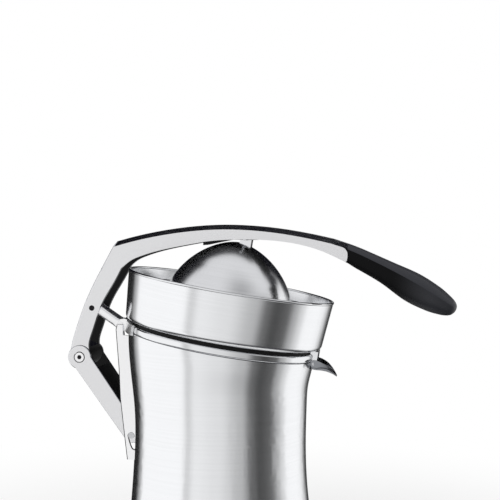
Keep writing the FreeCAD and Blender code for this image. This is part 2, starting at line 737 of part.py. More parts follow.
for y in bracket_screw_spots:
    seat_x = -collar_radius - 4.0
    bolt = on_head(screw(seat_x, y, shell_top + 3.1, V(1, 0, 0), 10))
    room = on_head(Part.makeCylinder(screw_head_radius + seat_gap, 40, V(seat_x, y, shell_top + 3.1), V(-1, 0, 0)))
    way = on_head(Part.makeCylinder(screw_radius + running_fit, 20, V(seat_x - 1, y, shell_top + 3.1), V(1, 0, 0)))
    bracket = bracket.cut(room.fuse(way))
    bracket_screws.append(bolt)
save("hinge_bracket", bracket)
save("bracket_screws", Part.makeCompound(bracket_screws))
save("hinge_pin", cross_rod(hinge_pin_radius, hinge_x, hinge_z, -arm_half_width + 0.2, arm_half_width - 0.2))

# Lever arm: a channel with a sharp rear elbow and a long crowned beam
elbow = (-81.2, 260.9)
lower_outer = [(knuckle_x - 8.4, knuckle_z + 2.3), (knuckle_x - 6.6, knuckle_z + 12.8), (-113.0, 193.8),
               (-105.4, 214.3), (-95.2, 235.2), elbow]
beam_top = [elbow, (-55.0, 267.4), (-29.3, 271.6), (1.5, 273.9), (27.0, 273.2), (58.8, 269.3),
            (arm_end_x, 261.3)]
beam_under = [(arm_end_x, 246.6), (66.6, 258.0), (42.9, 261.6), (18.9, 262.4), (-9.1, 260.7),
              (-25.8, 257.9), (-48.8, 253.1), (-64.0, 248.3)]
lower_inner = [(-77.0, 239.4), (-83.0, 228.2), (-92.8, 211.4), (-100.6, 189.5),
               (knuckle_x + 6.6, knuckle_z + 9.8), (knuckle_x + 8.0, knuckle_z + 2.8)]


def at(point):
    """A point of the arm's outline as a vector."""
    return V(point[0], 0, point[1])


inner_elbow = Part.Arc(at(beam_under[-1]), V(-71.6, 0, 244.4), at(lower_inner[0])).toShape()
outline = [spline(lower_outer), spline(beam_top), Part.makeLine(at(beam_top[-1]), at(beam_under[0])),
           spline(beam_under), inner_elbow, spline(lower_inner),
           Part.makeLine(at(lower_inner[-1]), at(lower_outer[0]))]
arm_face = Part.Face(Part.Wire(Part.__sortEdges__(outline)))
arm_face.translate(V(0, -arm_half_width, 0))
arm = arm_face.extrude(V(0, 2 * arm_half_width, 0))


def side_middle(edge):
    """The middle of a long edge on one of the arm's sides, or nothing for any other edge."""
    if abs(edge.CenterOfMass.y) < arm_half_width - 0.1 or edge.Length < 20:
        return None
    return edge.valueAt((edge.FirstParameter + edge.LastParameter) / 2)


def on_crown(edge):
    """Whether an edge runs along the top of the beam."""
    middle = side_middle(edge)
    return middle is not None and middle.x > elbow[0] + 4 and middle.z > 262.5


def on_back(edge):
    """Whether an edge runs along the back of the arm, below the elbow."""
    middle = side_middle(edge)
    return middle is not None and middle.x < hinge_x + 2.7


arm = arm.makeChamfer(arm_chamfer_in, arm_chamfer_down, [edge for edge in arm.Edges if on_crown(edge)])
arm = rounded(arm, arm_edge, on_back)
arm = arm.fuse(cross_rod(arm_boss_radius, knuckle_x, knuckle_z, -arm_half_width, arm_half_width)).removeSplitter()
channel_roof = offset(lower_outer[1:-1], -arm_roof) + [(elbow[0] + 3.2, elbow[1] - 3.4)]
channel_roof += offset(beam_top[1:-1], -arm_roof)
channel_end = arm_end_x - 10
channel = channel_roof + [(channel_end, 260.4), (channel_end, 236.0), (-54.0, 236.0), (-84.0, 200.0),
                          (knuckle_x + 18.0, knuckle_z + 2.8)]
channel = prism(channel, -arm_half_width + arm_plate, arm_half_width - arm_plate)
channel = channel.cut(cross_rod(arm_boss_radius, knuckle_x, knuckle_z, -40, 40))
arm = arm.cut(channel)
arm = arm.cut(cross_rod(bracket_boss_radius + free_gap + 0.1, hinge_x, hinge_z,
                        -arm_half_width + arm_plate, arm_half_width - arm_plate))
arm = arm.cut(cross_rod(hinge_pin_radius + running_fit, hinge_x, hinge_z, -40, 40))
tang = bar(arm_end_x - 4, 253.4, arm_end_x + tang_length, 229.4, tang_half_height, -tang_half_width, tang_half_width)
arm = arm.fuse(tang)
for side in (-1, 1):
    hole = Part.makeCylinder(knuckle_screw_radius, 10.5, V(knuckle_x, side * arm_half_width, knuckle_z), V(0, -side, 0))
    arm = arm.cut(hole)

# Press dome hanger sizes on the arm
dome_pin_x = dome_pin_w * math.sin(tilt) + dome_pin_u * math.cos(tilt)
dome_pin_z = head_height + dome_pin_w * math.cos(tilt) - dome_pin_u * math.sin(tilt)
arm = arm.cut(cross_rod(dome_pin_radius, dome_pin_x, dome_pin_z, -arm_half_width + 1.5, arm_half_width - 1.5))
save("arm_frame", arm.removeSplitter())

cover_half = arm_half_width - arm_plate - seat_gap
cover = band(beam_under[1:], -cover_inset, -cover_inset - cover_thickness, cover_half)
carrier_front = dome_pin_x + stem_half_length + 3.5
carrier_rear = dome_pin_x - 33.0
cover = cover.cut(box(carrier_rear - seat_gap, carrier_front + seat_gap, -40, 40, 200, 300))
save("arm_cover", cover)

# Black carrier in the channel that holds the dome's pin
carrier = prism([(carrier_rear, 257.9), (carrier_rear + 8, 259.6), (carrier_rear + 21, 262.2),
                 (carrier_front, 262.0), (carrier_front, 268.6), (carrier_rear, 266.4)], -cover_half, cover_half)
carrier = carrier.cut(box(dome_pin_x - stem_half_length - 1.6, dome_pin_x + stem_half_length + 1.6,
                          -stem_half_width - free_gap, stem_half_width + free_gap, 240, 300))
carrier = carrier.cut(cross_rod(dome_pin_radius, dome_pin_x, dome_pin_z, -40, 40))
save("dome_carrier", carrier)
save("dome_pin", cross_rod(dome_pin_radius, dome_pin_x, dome_pin_z, -arm_half_width + 1.6, arm_half_width - 1.6))


def dome_section(radius, depth, steps):
    """Points from the rim to the crown of the dome."""
    power = 2.0 / dome_fullness
    points = []
    for k in range(steps + 1):
        angle = math.pi / 2 * k / steps
        points.append((radius * math.cos(angle) ** power, dome_rim + depth * math.sin(angle) ** power))
    points[-1] = (0.0, dome_rim + depth)
    return points


def dome_solid(radius, depth):
    """A closed cap under the dome's curve."""
    points = dome_section(radius, depth, 12)
    curve = spline(points)
    base = Part.makeLine(V(0, 0, dome_rim), V(points[0][0], 0, dome_rim))
    axis = Part.makeLine(V(0, 0, points[-1][1]), V(0, 0, dome_rim))
    face = Part.Face(Part.Wire(Part.__sortEdges__([base, curve, axis])))
    return face.revolve(V(0, 0, 0), V(0, 0, 1), 360)


dome = dome_solid(dome_radius, dome_depth).cut(dome_solid(dome_radius - dome_wall, dome_depth - dome_wall))
bead = Part.makeTorus(dome_radius - dome_wall / 2, dome_bead, V(0, 0, dome_rim))
dome = dome.fuse(bead).removeSplitter()
save("dome_shell", on_head(dome))
stem_block = box(dome_pin_u - stem_half_length, dome_pin_u + stem_half_length, -stem_half_width, stem_half_width,
                 dome_rim + dome_depth - 5, dome_pin_w + dome_pin_radius + 2.2)
stem_block = stem_block.cut(dome_solid(dome_radius, dome_depth))
stem_block = stem_block.cut(cross_rod(dome_pin_radius + running_fit, dome_pin_u, dome_pin_w, -40, 40))
save("dome_stem", on_head(stem_block))

# Grip on the arm's tang
grip_rings = (
    (95.6, 254.0, 7.6, 15.6, -3.0),
    (113.0, 245.2, 8.9, 14.8, -26.0),
    (131.0, 235.2, 11.0, 14.8, -28.0),
    (150.0, 225.4, 12.0, 15.0, -30.0),
    (165.5, 217.0, 10.6, 13.6, -32.0),
    (175.0, 211.6, 7.8, 10.4, -34.0),
    (181.6, 207.9, 3.4, 5.4, -36.0),
)
grip_wires = []
for x, z, half_depth, half_width, lean in grip_rings:
    a = math.radians(lean)
    along = V(math.cos(a), 0, math.sin(a))
    up = V(-math.sin(a), 0, math.cos(a))
    centre = V(x, 0, z)
    side = half_width * grip_half_width / 15.0
    points = []
    for k in range(16):
        t = 2 * math.pi * k / 16
        cy = math.copysign(abs(math.cos(t)) ** 0.8, math.cos(t)) * side
        cz = math.copysign(abs(math.sin(t)) ** 0.8, math.sin(t)) * half_depth
        points.append(centre + V(0, cy, 0) + up * cz)
    curve = Part.BSplineCurve()
    curve.interpolate(points, PeriodicFlag=True)
    grip_wires.append(Part.Wire(curve.toShape()))
grip = Part.makeLoft(grip_wires, True, False)
tang_room = bar(arm_end_x - 4, 253.4, arm_end_x + tang_length + 0.4, 229.3, tang_half_height + grip_wall_fit,
                -tang_half_width - grip_wall_fit, tang_half_width + grip_wall_fit)
grip = grip.cut(tang_room)
grip = grip.cut(box(60, arm_end_x + seat_gap, -40, 40, 200, 300))
save("grip", grip)

# Lower link: two plates, a rear web and a black inner cover
link_inner = arm_half_width + free_gap
link_outer = link_inner + link_plate
lx = math.cos(slope)
lz = math.sin(slope)


def link_point(along, across):
    """A point on the link, measured from its knuckle and to its front side."""
    return knuckle_x + along * lx - across * lz, knuckle_z + along * lz + across * lx


def link_plate_at(y0, y1):
    """One side plate of the link."""
    corners = [link_point(0, -link_half_depth), link_point(link_length, -link_foot_radius),
               link_point(link_length, link_foot_radius), link_point(0, link_half_depth)]
    plate = prism(corners, y0, y1).fuse(cross_rod(link_boss_radius, knuckle_x, knuckle_z, y0, y1))
    plate = plate.fuse(cross_rod(link_foot_radius, guide_x, guide_z, y0, y1)).removeSplitter()
    outer_y = y1 if y1 > 0 else y0
    return rounded(plate, 0.8, lambda e: abs(e.CenterOfMass.y - outer_y) < 0.01)


link = link_plate_at(-link_outer, -link_inner).fuse(link_plate_at(link_inner, link_outer))
web_start = arm_boss_radius + 4.0
web_end = link_length - guide_pin_radius - 4.0
web = prism([link_point(web_start, -link_half_depth + 0.8), link_point(web_end, -link_foot_radius + 0.8),
             link_point(web_end, -link_foot_radius + 0.8 + link_web),
             link_point(web_start, -link_half_depth + 0.8 + link_web)], -link_inner, link_inner)
link = link.fuse(web).removeSplitter()
for side in (-1, 1):
    link = link.cut(Part.makeCylinder(knuckle_screw_radius + running_fit, 20,
                                      V(knuckle_x, side * 10, knuckle_z), V(0, side, 0)))
    link = link.cut(Part.makeCylinder(knuckle_head_radius + seat_gap, 20,
                                      V(knuckle_x, side * (link_outer - knuckle_head), knuckle_z), V(0, side, 0)))
link = link.cut(cross_rod(guide_pin_radius, guide_x, guide_z, -40, 40))
save("lower_link", link)

link_cover_half = link_inner - seat_gap
cover_foot = link_length - 12.0
link_cover = prism([link_point(web_start + 2, link_half_depth - 1.4), link_point(cover_foot, link_foot_radius - 1.0),
                    link_point(cover_foot, link_foot_radius - 3.4), link_point(web_start + 2, link_half_depth - 3.8)],
                   -link_cover_half, link_cover_half)
save("link_cover", link_cover)

knuckle_screws = []
for side in (-1, 1):
    seat_y = side * (link_outer - knuckle_head)
    head = Part.makeCylinder(knuckle_head_radius, knuckle_head - 0.1, V(knuckle_x, seat_y, knuckle_z), V(0, side, 0))
    shank = Part.makeCylinder(knuckle_screw_radius, abs(seat_y) - 6.0, V(knuckle_x, side * 6.0, knuckle_z), V(0, side, 0))
    corner = 1.9
    hexagonal = [(knuckle_x + corner * math.cos(k * math.pi / 3), knuckle_z + corner * math.sin(k * math.pi / 3))
                 for k in range(6)]
    socket_y = sorted((side * (link_outer - 1.3), side * (link_outer + 1)))
    one = head.fuse(shank).removeSplitter().cut(prism(hexagonal, socket_y[0], socket_y[1]))
    knuckle_screws.append(one)
save("knuckle_screws", Part.makeCompound(knuckle_screws))

save("guide_pin", cross_rod(guide_pin_radius, guide_x, guide_z, -spine_half_width + 0.3, spine_half_width - 0.3))
spacer = cross_rod(guide_pin_radius + 1.6, guide_x, guide_z, -link_inner + seat_gap, link_inner - seat_gap)
save("link_spacer", spacer.cut(cross_rod(guide_pin_radius + running_fit, guide_x, guide_z, -40, 40)))
print("guide pin path:", [(round(x, 1), round(z, 1)) for x, z in guide_path])
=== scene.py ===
"""Looks of a lever-arm citrus press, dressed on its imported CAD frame."""

from __future__ import annotations

import json
import logging
import math
from dataclasses import dataclass
from enum import Enum
from functools import partial
from typing import Callable, Sequence

import bmesh
import bpy
from mathutils import Matrix, Vector

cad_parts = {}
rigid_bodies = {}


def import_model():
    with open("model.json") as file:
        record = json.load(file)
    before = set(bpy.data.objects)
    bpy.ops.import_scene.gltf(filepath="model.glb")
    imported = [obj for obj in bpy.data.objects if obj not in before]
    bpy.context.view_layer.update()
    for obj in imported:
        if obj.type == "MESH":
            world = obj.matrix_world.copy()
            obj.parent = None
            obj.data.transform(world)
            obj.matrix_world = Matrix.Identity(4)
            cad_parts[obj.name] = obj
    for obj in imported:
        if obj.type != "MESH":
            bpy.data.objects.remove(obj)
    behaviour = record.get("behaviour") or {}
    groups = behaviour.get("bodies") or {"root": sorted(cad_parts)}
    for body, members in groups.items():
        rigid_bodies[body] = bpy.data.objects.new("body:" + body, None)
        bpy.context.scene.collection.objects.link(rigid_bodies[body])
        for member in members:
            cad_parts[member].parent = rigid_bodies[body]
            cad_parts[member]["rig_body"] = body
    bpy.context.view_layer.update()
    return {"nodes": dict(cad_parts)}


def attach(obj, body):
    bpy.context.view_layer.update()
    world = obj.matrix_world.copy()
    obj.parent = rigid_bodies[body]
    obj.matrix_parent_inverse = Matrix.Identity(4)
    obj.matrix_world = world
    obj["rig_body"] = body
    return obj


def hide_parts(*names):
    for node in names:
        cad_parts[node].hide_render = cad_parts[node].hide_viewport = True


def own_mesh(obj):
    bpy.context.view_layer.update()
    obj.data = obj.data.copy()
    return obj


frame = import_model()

LOG = logging.getLogger("citrus_press")
NODES: dict[str, bpy.types.Object] = frame["nodes"]
MM = 0.001
# Distance within which corners are joined, and under which an edge is a sliver, in metres.
WELD = 1e-6
SLIVER = 1e-7
# Where the head's own frame lies in the row frame, in metres, and how far it leans towards the spout.
HEAD_CENTRE = Vector((0.0, 0.0, 0.174))
HEAD_TILT = math.radians(9.7)
HEAD_TURN = Matrix.Rotation(HEAD_TILT, 3, "Y")
HEAD_AXIS = HEAD_TURN @ Vector((0.0, 0.0, 1.0))
WHITE = (1.0, 1.0, 1.0, 1.0)

Pair = tuple[float, float]
Triple = tuple[float, float, float]
Colour = tuple[float, float, float, float]
Tree = bpy.types.NodeTree
Node = bpy.types.Node
Socket = bpy.types.NodeSocket
Work = bmesh.types.BMesh
Mesh = bpy.types.Mesh


class Grain(Enum):
    """How the surface of a material was made."""

    TURNED_UPRIGHT = "brushed around the upright axis of the body"
    TURNED_HEAD = "brushed around the tilted axis of the head"
    LINISHED = "linished along the arm"
    BLASTED = "bead blasted"
    MOULDED = "moulded against an etched tool"


def linear(code: str) -> Colour:
    """Turn an sRGB hex value into linear light.

    Args:
        code: A hash and six hex digits.

    Returns:
        Red, green, blue and an alpha of one.
    """
    values = [int(code[i:i + 2], 16) / 255.0 for i in (1, 3, 5)]
    light = [v / 12.92 if v <= 0.04045 else ((v + 0.055) / 1.055) ** 2.4 for v in values]
    return light[0], light[1], light[2], 1.0


def add(tree: Tree, kind: str, inputs: dict | None = None, **settings: object) -> Node:
    """Add one node with its settings and inputs.

    Args:
        tree: The node tree to add to.
        kind: The node's type name.
        inputs: Input name or index to a constant, a socket, or a node whose first output is meant.
        settings: Attributes of the node.

    Returns:
        The new node.
    """
    node = tree.nodes.new(kind)
    for key, value in settings.items():
        setattr(node, key, value)
    for key, value in (inputs or {}).items():
        if isinstance(value, Node):
            value = value.outputs[0]
        if isinstance(value, Socket):
            tree.links.new(value, node.inputs[key])
        else:
            node.inputs[key].default_value = value
    return node


def maths(tree: Tree, operation: str, *values: object) -> Node:
    """Add one sum of nodes, sockets and constants."""
    return add(tree, "ShaderNodeMath", dict(enumerate(values)), operation=operation)


def mixed(tree: Tree, share: object, first: object, second: object) -> Socket:
    """Mix two colours by a share."""
    return add(tree, "ShaderNodeMix", {0: share, 6: first, 7: second}, data_type="RGBA").outputs[2]


def ranged(tree: Tree, value: object, low: float, high: float, start: float = 0.0, end: float = 1.0,
           shape: str = "SMOOTHSTEP") -> Node:
    """Add a step from one level to another.

    Args:
        tree: The node tree to add to.
        value: The node or socket that is followed.
        low: Where the step begins.
        high: Where it ends.
        start: The level at its beginning.
        end: The level at its end.
        shape: SMOOTHSTEP for a soft step, LINEAR for an even one.

    Returns:
        The new node.
    """
    levels = {"Value": value, "From Min": low, "From Max": high, "To Min": start, "To Max": end}
    return add(tree, "ShaderNodeMapRange", levels, interpolation_type=shape)


def new_material(name: str) -> bpy.types.Material:
    """Start a material with an empty node tree."""
    made = bpy.data.materials.new(name)
    made.use_nodes = True
    made.node_tree.nodes.clear()
    return made


@dataclass(frozen=True)
class Finish:
    """One real material and the way its surface was made.

    Attributes:
        name: The material's name, for what it is and how it was made.
        light: Its lighter colour, as sRGB hex.
        dark: Its darker colour, as sRGB hex.
        metallic: One for bare metal.
        roughness: The middle of its roughness.
        spread: How far roughness strays from the middle.
        grain: How the surface was made.
        pitch_mm: Width of one line or pit.
        run_mm: Length of one line.
        relief_mm: Depth of the grain.
        anisotropy: How much the lines stretch a highlight.
        sheen: Soft edge light of a rubbery skin.
        specular: Strength of the gloss on a surface that isn't metal.
        fade: Where a painted sheen starts and ends along X, in millimetres, turning it paler, and its colour
            and gloss there.
        handling_mm: Width of the marks that handling leaves.
        grain_share: How much of the mottling comes from the grain, with the rest from handling.
        contrast: Low and high end of the noise that is used.
        least_rough: The lowest roughness.
    """

    name: str
    light: str
    dark: str
    metallic: float
    roughness: float
    spread: float
    grain: Grain
    pitch_mm: float
    run_mm: float
    relief_mm: float
    anisotropy: float = 0.0
    sheen: float = 0.0
    specular: float = 0.5
    fade: tuple[float, float, str, float] | None = None
    handling_mm: float = 45.0
    grain_share: float = 0.7
    contrast: Pair = (0.3, 0.7)
    least_rough: float = 0.02

    def _stretch(self) -> Triple:
        """Pattern scale along each axis, per metre."""
        fine = 1.0 / (self.pitch_mm * MM)
        long = 1.0 / (self.run_mm * MM)
        if self.grain in (Grain.TURNED_UPRIGHT, Grain.TURNED_HEAD):
            return long, long, fine
        if self.grain is Grain.LINISHED:
            return long, fine, fine
        return fine, fine, fine

    def material(self) -> bpy.types.Material:
        """Build the material, or give back the one already made.

        Returns:
            The Blender material of this finish.
        """
        made = bpy.data.materials.get(self.name)
        if made is not None:
            return made
        made = new_material(self.name)
        tree = made.node_tree
        place = add(tree, "ShaderNodeTexCoord").outputs["Object"]
        lean = HEAD_TILT if self.grain is Grain.TURNED_HEAD else 0.0
        leant = add(tree, "ShaderNodeMapping", {"Vector": place, "Rotation": (0.0, -lean, 0.0)})
        scaled = add(tree, "ShaderNodeVectorMath", {0: leant, 1: self._stretch()}, operation="MULTIPLY")
        lines = add(tree, "ShaderNodeTexNoise", {"Vector": scaled, "Scale": 1.0, "Detail": 3.0,
                                                 "Roughness": 0.6})
        handling = add(tree, "ShaderNodeTexNoise", {"Vector": place, "Scale": 1.0 / (self.handling_mm * MM),
                                                    "Detail": 4.0, "Roughness": 0.55})
        mottle = maths(tree, "MULTIPLY_ADD", handling, 1.0 - self.grain_share,
                       maths(tree, "MULTIPLY", lines, self.grain_share))
        share = ranged(tree, mottle, *self.contrast, shape="LINEAR")
        tint = mixed(tree, share, linear(self.dark), linear(self.light))
        gloss = ranged(tree, mottle, *self.contrast, max(self.roughness - self.spread, self.least_rough),
                       self.roughness + self.spread, shape="LINEAR")
        relief = add(tree, "ShaderNodeBump", {"Height": lines, "Strength": 1.0,
                                              "Distance": self.relief_mm * MM})
        shine = self.specular
        # Painted sheen: the colour turns paler and the gloss stronger along X.
        if self.fade is not None:
            start, end, pale, gleam = self.fade
            along = ranged(tree, add(tree, "ShaderNodeSeparateXYZ", {0: place}), start * MM, end * MM)
            tint = mixed(tree, along, tint, linear(pale))
            shine = ranged(tree, along, 0.0, 1.0, self.specular, gleam, shape="LINEAR")
        shader = add(tree, "ShaderNodeBsdfPrincipled", {
            "Base Color": tint, "Roughness": gloss, "Normal": relief, "Metallic": self.metallic,
            "Anisotropic": self.anisotropy, "Anisotropic Rotation": 0.25, "Sheen Weight": self.sheen,
            "Specular IOR Level": shine})
        if self.anisotropy > 0.0:
            rings = add(tree, "ShaderNodeTangent", direction_type="RADIAL", axis="Z")
            tree.links.new(rings.outputs[0], shader.inputs["Tangent"])
        add(tree, "ShaderNodeOutputMaterial", {"Surface": shader})
        return made


# Stainless sheet, brushed in fine rings: soft upright bands of light and faint level lines.
# The lines are drawn about 1.6 mm wide, coarser than the real 0.2 mm, so that they show.
BODY_STEEL = Finish("stainless_sheet_brushed_upright", "#ECEDEF", "#E7E8EA", 1.0, 0.17, 0.015,
                    Grain.TURNED_UPRIGHT, 1.6, 260.0, 0.0007, anisotropy=0.45)
HEAD_STEEL = Finish("stainless_sheet_brushed_on_head", "#ECEDEF", "#E6E7E9", 1.0, 0.17, 0.015,
                    Grain.TURNED_HEAD, 1.6, 260.0, 0.0007, anisotropy=0.45)
# The press dome is spun and satined: a finer line than the bowl's, and softer edges in its gloss.
DOME_STEEL = Finish("stainless_spun_satin", "#E7E8EA", "#DFE0E2", 1.0, 0.22, 0.02,
                    Grain.TURNED_HEAD, 1.2, 160.0, 0.001, anisotropy=0.2)
# Stainless, buffed: nearly a mirror, with a trace of polishing haze.
BUFFED_STEEL = Finish("stainless_buffed", "#E9EAEC", "#DFE0E2", 1.0, 0.09, 0.03,
                      Grain.TURNED_HEAD, 3.0, 80.0, 0.0015)
# Die-cast aluminium, bead blasted and clear anodised: even pale satin with a fine tooth.
SATIN_CAST = Finish("aluminium_cast_blasted", "#EDEDEE", "#E6E6E8", 1.0, 0.42, 0.04,
                    Grain.BLASTED, 1.2, 1.2, 0.006)
# The same casting where its edges are linished and buffed: a clear, darker gloss.
BUFFED_CAST = Finish("aluminium_cast_linished", "#DDDEE1", "#D2D3D7", 1.0, 0.13, 0.04,
                     Grain.LINISHED, 1.5, 60.0, 0.002)
# The same casting tumbled bright, on the spine, the hinge bracket and the knuckle screws' heads:
# pale, with a soft even gloss.
BRIGHT_CAST = Finish("aluminium_cast_tumbled", "#F8F8F9", "#F4F4F5", 1.0, 0.30, 0.03,
                     Grain.BLASTED, 2.0, 2.0, 0.002)
# The spout is pressed steel with a hard gloss, painted a darker grey as painted shade for the shadow it
# stands in.
SPOUT_STEEL_PAINTED_SHADE = Finish("stainless_spout_painted_shade", "#96989C", "#85878C", 1.0, 0.16, 0.04,
                      Grain.TURNED_HEAD, 2.0, 60.0, 0.002)
# Soft-touch thermoplastic rubber, moulded on the grip's top: painted charcoal, paler than the black core, as
# a painted highlight where the top faces the light, with a broad low highlight from its gloss.
GRIP_TOP_PAINTED_HIGHLIGHT = Finish("thermoplastic_rubber_painted_top_highlight", "#2B2C32", "#222329", 0.0, 0.40, 0.06,
                    Grain.MOULDED, 0.9, 0.9, 0.008, sheen=0.05, specular=0.40)
# Filled polypropylene, moulded as the grip's core: deep black, with a painted sheen that turns it paler and
# glossier towards the tip.
GRIP_CORE_PAINTED_SHEEN = Finish("polypropylene_black_painted_tip_sheen", "#09090B", "#050506", 0.0, 0.42, 0.06,
                   Grain.MOULDED, 0.9, 0.9, 0.008, specular=0.10, fade=(134.0, 168.0, "#232429", 0.36))
# Glass-filled nylon, moulded against an etched tool: matt black with a fine grain.
# On the inner faces of the arm's and the link's channels it is painted shade.
BLACK_NYLON_AND_PAINTED_SHADE = Finish("nylon_black_moulded_and_painted_shade", "#0C0C0D", "#070708", 0.0, 0.55, 0.08,
                     Grain.MOULDED, 0.8, 0.8, 0.012, specular=0.18)
# Nitrile rubber, moulded: dull black.
SEAL_RUBBER = Finish("nitrile_rubber_moulded", "#161617", "#0E0E0E", 0.0, 0.7, 0.08,
                     Grain.MOULDED, 1.2, 1.2, 0.02, specular=0.2)
# Steel bar, ground: cool grey with a low gloss.
GROUND_STEEL = Finish("steel_bar_ground", "#CFD0D2", "#B4B5B8", 1.0, 0.26, 0.06,
                      Grain.LINISHED, 0.8, 12.0, 0.004)
# Steel, blackened in an oxide bath: dark grey with an oily gloss.
# On the rear spine's rounded edges and in the knuckle screws' sockets it is painted shade, and round those
# screws' rims a painted dark reflection.
BLACK_OXIDE_AND_PAINTED_SHADE = Finish("steel_black_oxide_and_painted_shade", "#2A2A2C", "#1B1B1D", 1.0, 0.34, 0.06,
                     Grain.BLASTED, 0.8, 0.8, 0.004)
# Sintered bronze: warm, slightly porous.
BUSH_BRONZE = Finish("bronze_sintered", "#B98A4E", "#97703D", 1.0, 0.45, 0.06,
                     Grain.BLASTED, 0.6, 0.6, 0.01)
# Natural acetal, moulded: waxy off-white.
GEAR_ACETAL = Finish("acetal_natural_moulded", "#E6E1D2", "#DAD4C2", 0.0, 0.38, 0.06,
                     Grain.MOULDED, 2.0, 2.0, 0.004)
# Zinc-plated sheet: grey with a faint cloudy spangle.
ZINC_SHEET = Finish("steel_sheet_zinc_plated", "#A7A9AC", "#8C8E92", 1.0, 0.36, 0.1,
                    Grain.BLASTED, 7.0, 7.0, 0.004)

NODE_FINISH: dict[str, Finish] = {node: finish for finish, nodes in (
    (BODY_STEEL, "body_shell"),
    (HEAD_STEEL, "juice_bowl filter_basket filter_wall"),
    (DOME_STEEL, "dome_shell"),
    (BUFFED_STEEL, "base_trim top_collar dome_stem"),
    (SATIN_CAST, "arm_frame lower_link"),
    (BRIGHT_CAST, "rear_spine hinge_bracket"),
    (SPOUT_STEEL_PAINTED_SHADE, "spout"),
    (GRIP_TOP_PAINTED_HIGHLIGHT, "grip"),
    (BLACK_NYLON_AND_PAINTED_SHADE, "base_plate cord_gland motor_deck gearbox_housing arm_switch press_switch juicing_cone"),
    (BLACK_NYLON_AND_PAINTED_SHADE, "arm_cover dome_carrier link_cover"),
    (SEAL_RUBBER, "rubber_feet bowl_seat shaft_seal"),
    (GROUND_STEEL, "base_screws deck_screws spine_screws bracket_screws knuckle_screws"),
    (GROUND_STEEL, "spout_pins dome_pin guide_pin link_spacer drive_shaft press_spring cluster_axle"),
    (BLACK_OXIDE_AND_PAINTED_SHADE, "hinge_pin"),
    (BUSH_BRONZE, "shaft_bush"),
    (GEAR_ACETAL, "drive_gear gear_cluster"),
    (ZINC_SHEET, "motor_can motor_stator motor_rotor spine_backing"),
) for node in nodes.split()}
# Gloss doesn't mirror these pieces, so that the dome and the body beside them show the studio's dark cards.
UNMIRRORED = ("rear_spine", "arm_frame", "lower_link", "link_cover", "link_spacer", "knuckle_screws",
              "hinge_pin", "guide_pin")


def new_object(name: str, data: bpy.types.ID) -> bpy.types.Object:
    """Link a mesh, lamp or camera into the scene as an object at the origin."""
    piece = bpy.data.objects.new(name, data)
    bpy.context.scene.collection.objects.link(piece)
    return piece


def adopt(piece: bpy.types.Object, node: str) -> bpy.types.Object:
    """Let a piece ride on a CAD node's body and stand for the node.

    Args:
        piece: The finished object.
        node: The CAD node that it dresses.

    Returns:
        The same object.
    """
    body = NODES[node]["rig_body"]
    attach(piece, body)
    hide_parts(node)
    LOG.info("%s rides on %s", piece.name, body)
    return piece


def smooth(mesh: Mesh, degrees: float) -> None:
    """Shade a mesh smooth, with hard edges past an angle."""
    mesh.polygons.foreach_set("use_smooth", [True] * len(mesh.polygons))
    mesh.set_sharp_from_angle(angle=math.radians(degrees))


def blended(rows: Sequence[Sequence[float]], share: float) -> tuple[float, ...]:
    """Blend a table of rows with a smooth curve that passes through each row.

    Args:
        rows: The table, one row for each place.
        share: The place, from nothing at the first row to one at the last.

    Returns:
        The blended row.
    """
    last = len(rows) - 1
    spot = min(max(share * last, 0.0), last - 1e-9)
    i = int(spot)
    t = spot - i
    near = [rows[min(max(i + k, 0), last)] for k in (-1, 0, 1, 2)]
    return tuple(0.5 * (2 * b + (c - a) * t + (2 * a - 5 * b + 4 * c - d) * t * t
                        + (3 * b - a - 3 * c + d) * t ** 3) for a, b, c, d in zip(*near))


def squared(turn: float, squareness: float) -> Pair:
    """Cosine and sine of a turn, drawn out towards a square's corners; a squareness of two is a circle."""
    c, q = (math.copysign(abs(v) ** (2.0 / squareness), v) for v in (math.cos(turn), math.sin(turn)))
    return c, q


def opened(mesh: Mesh) -> Work:
    """Load a mesh to work on."""
    work = bmesh.new()
    work.from_mesh(mesh)
    return work


def take_in(work: Work, mesh: Mesh) -> None:
    """Add a mesh to worked geometry, and drop the mesh."""
    work.from_mesh(mesh)
    bpy.data.meshes.remove(mesh)


def keep(work: Work, mesh: Mesh) -> Mesh:
    """Write worked geometry into a mesh."""
    work.to_mesh(mesh)
    work.free()
    return mesh


def bridged(work: Work, loops: Sequence[Sequence[bmesh.types.BMVert]]) -> list[bmesh.types.BMFace]:
    """Join each loop of corners to the next by a band of faces.

    Args:
        work: The geometry to add to.
        loops: The loops, all with as many corners.

    Returns:
        The faces, band by band.
    """
    faces = []
    for a, b in zip(loops[:-1], loops[1:]):
        for k in range(len(a)):
            n = (k + 1) % len(a)
            faces.append(work.faces.new((a[k], b[k], b[n], a[n])))
    return faces


def settle(work: Work, name: str, node: str, finishes: Sequence[Finish], degrees: float) -> None:
    """Turn worked geometry into a dressed piece that stands for a CAD node.

    Args:
        work: The geometry.
        name: Name of the piece.
        node: The CAD node.
        finishes: The finishes that its faces number.
        degrees: Angle past which an edge stays hard.
    """
    mesh = keep(work, bpy.data.meshes.new(name))
    for finish in finishes:
        mesh.materials.append(finish.material())
    smooth(mesh, degrees)
    adopt(new_object(name, mesh), node)


def apply(piece: bpy.types.Object, modifier: bpy.types.Modifier) -> None:
    """Put what a modifier makes in the place of a piece's mesh, under the same name."""
    made = bpy.data.meshes.new_from_object(piece.evaluated_get(bpy.context.evaluated_depsgraph_get()))
    piece.modifiers.remove(modifier)
    old = piece.data
    name = old.name
    piece.data = made
    bpy.data.meshes.remove(old)
    made.name = name


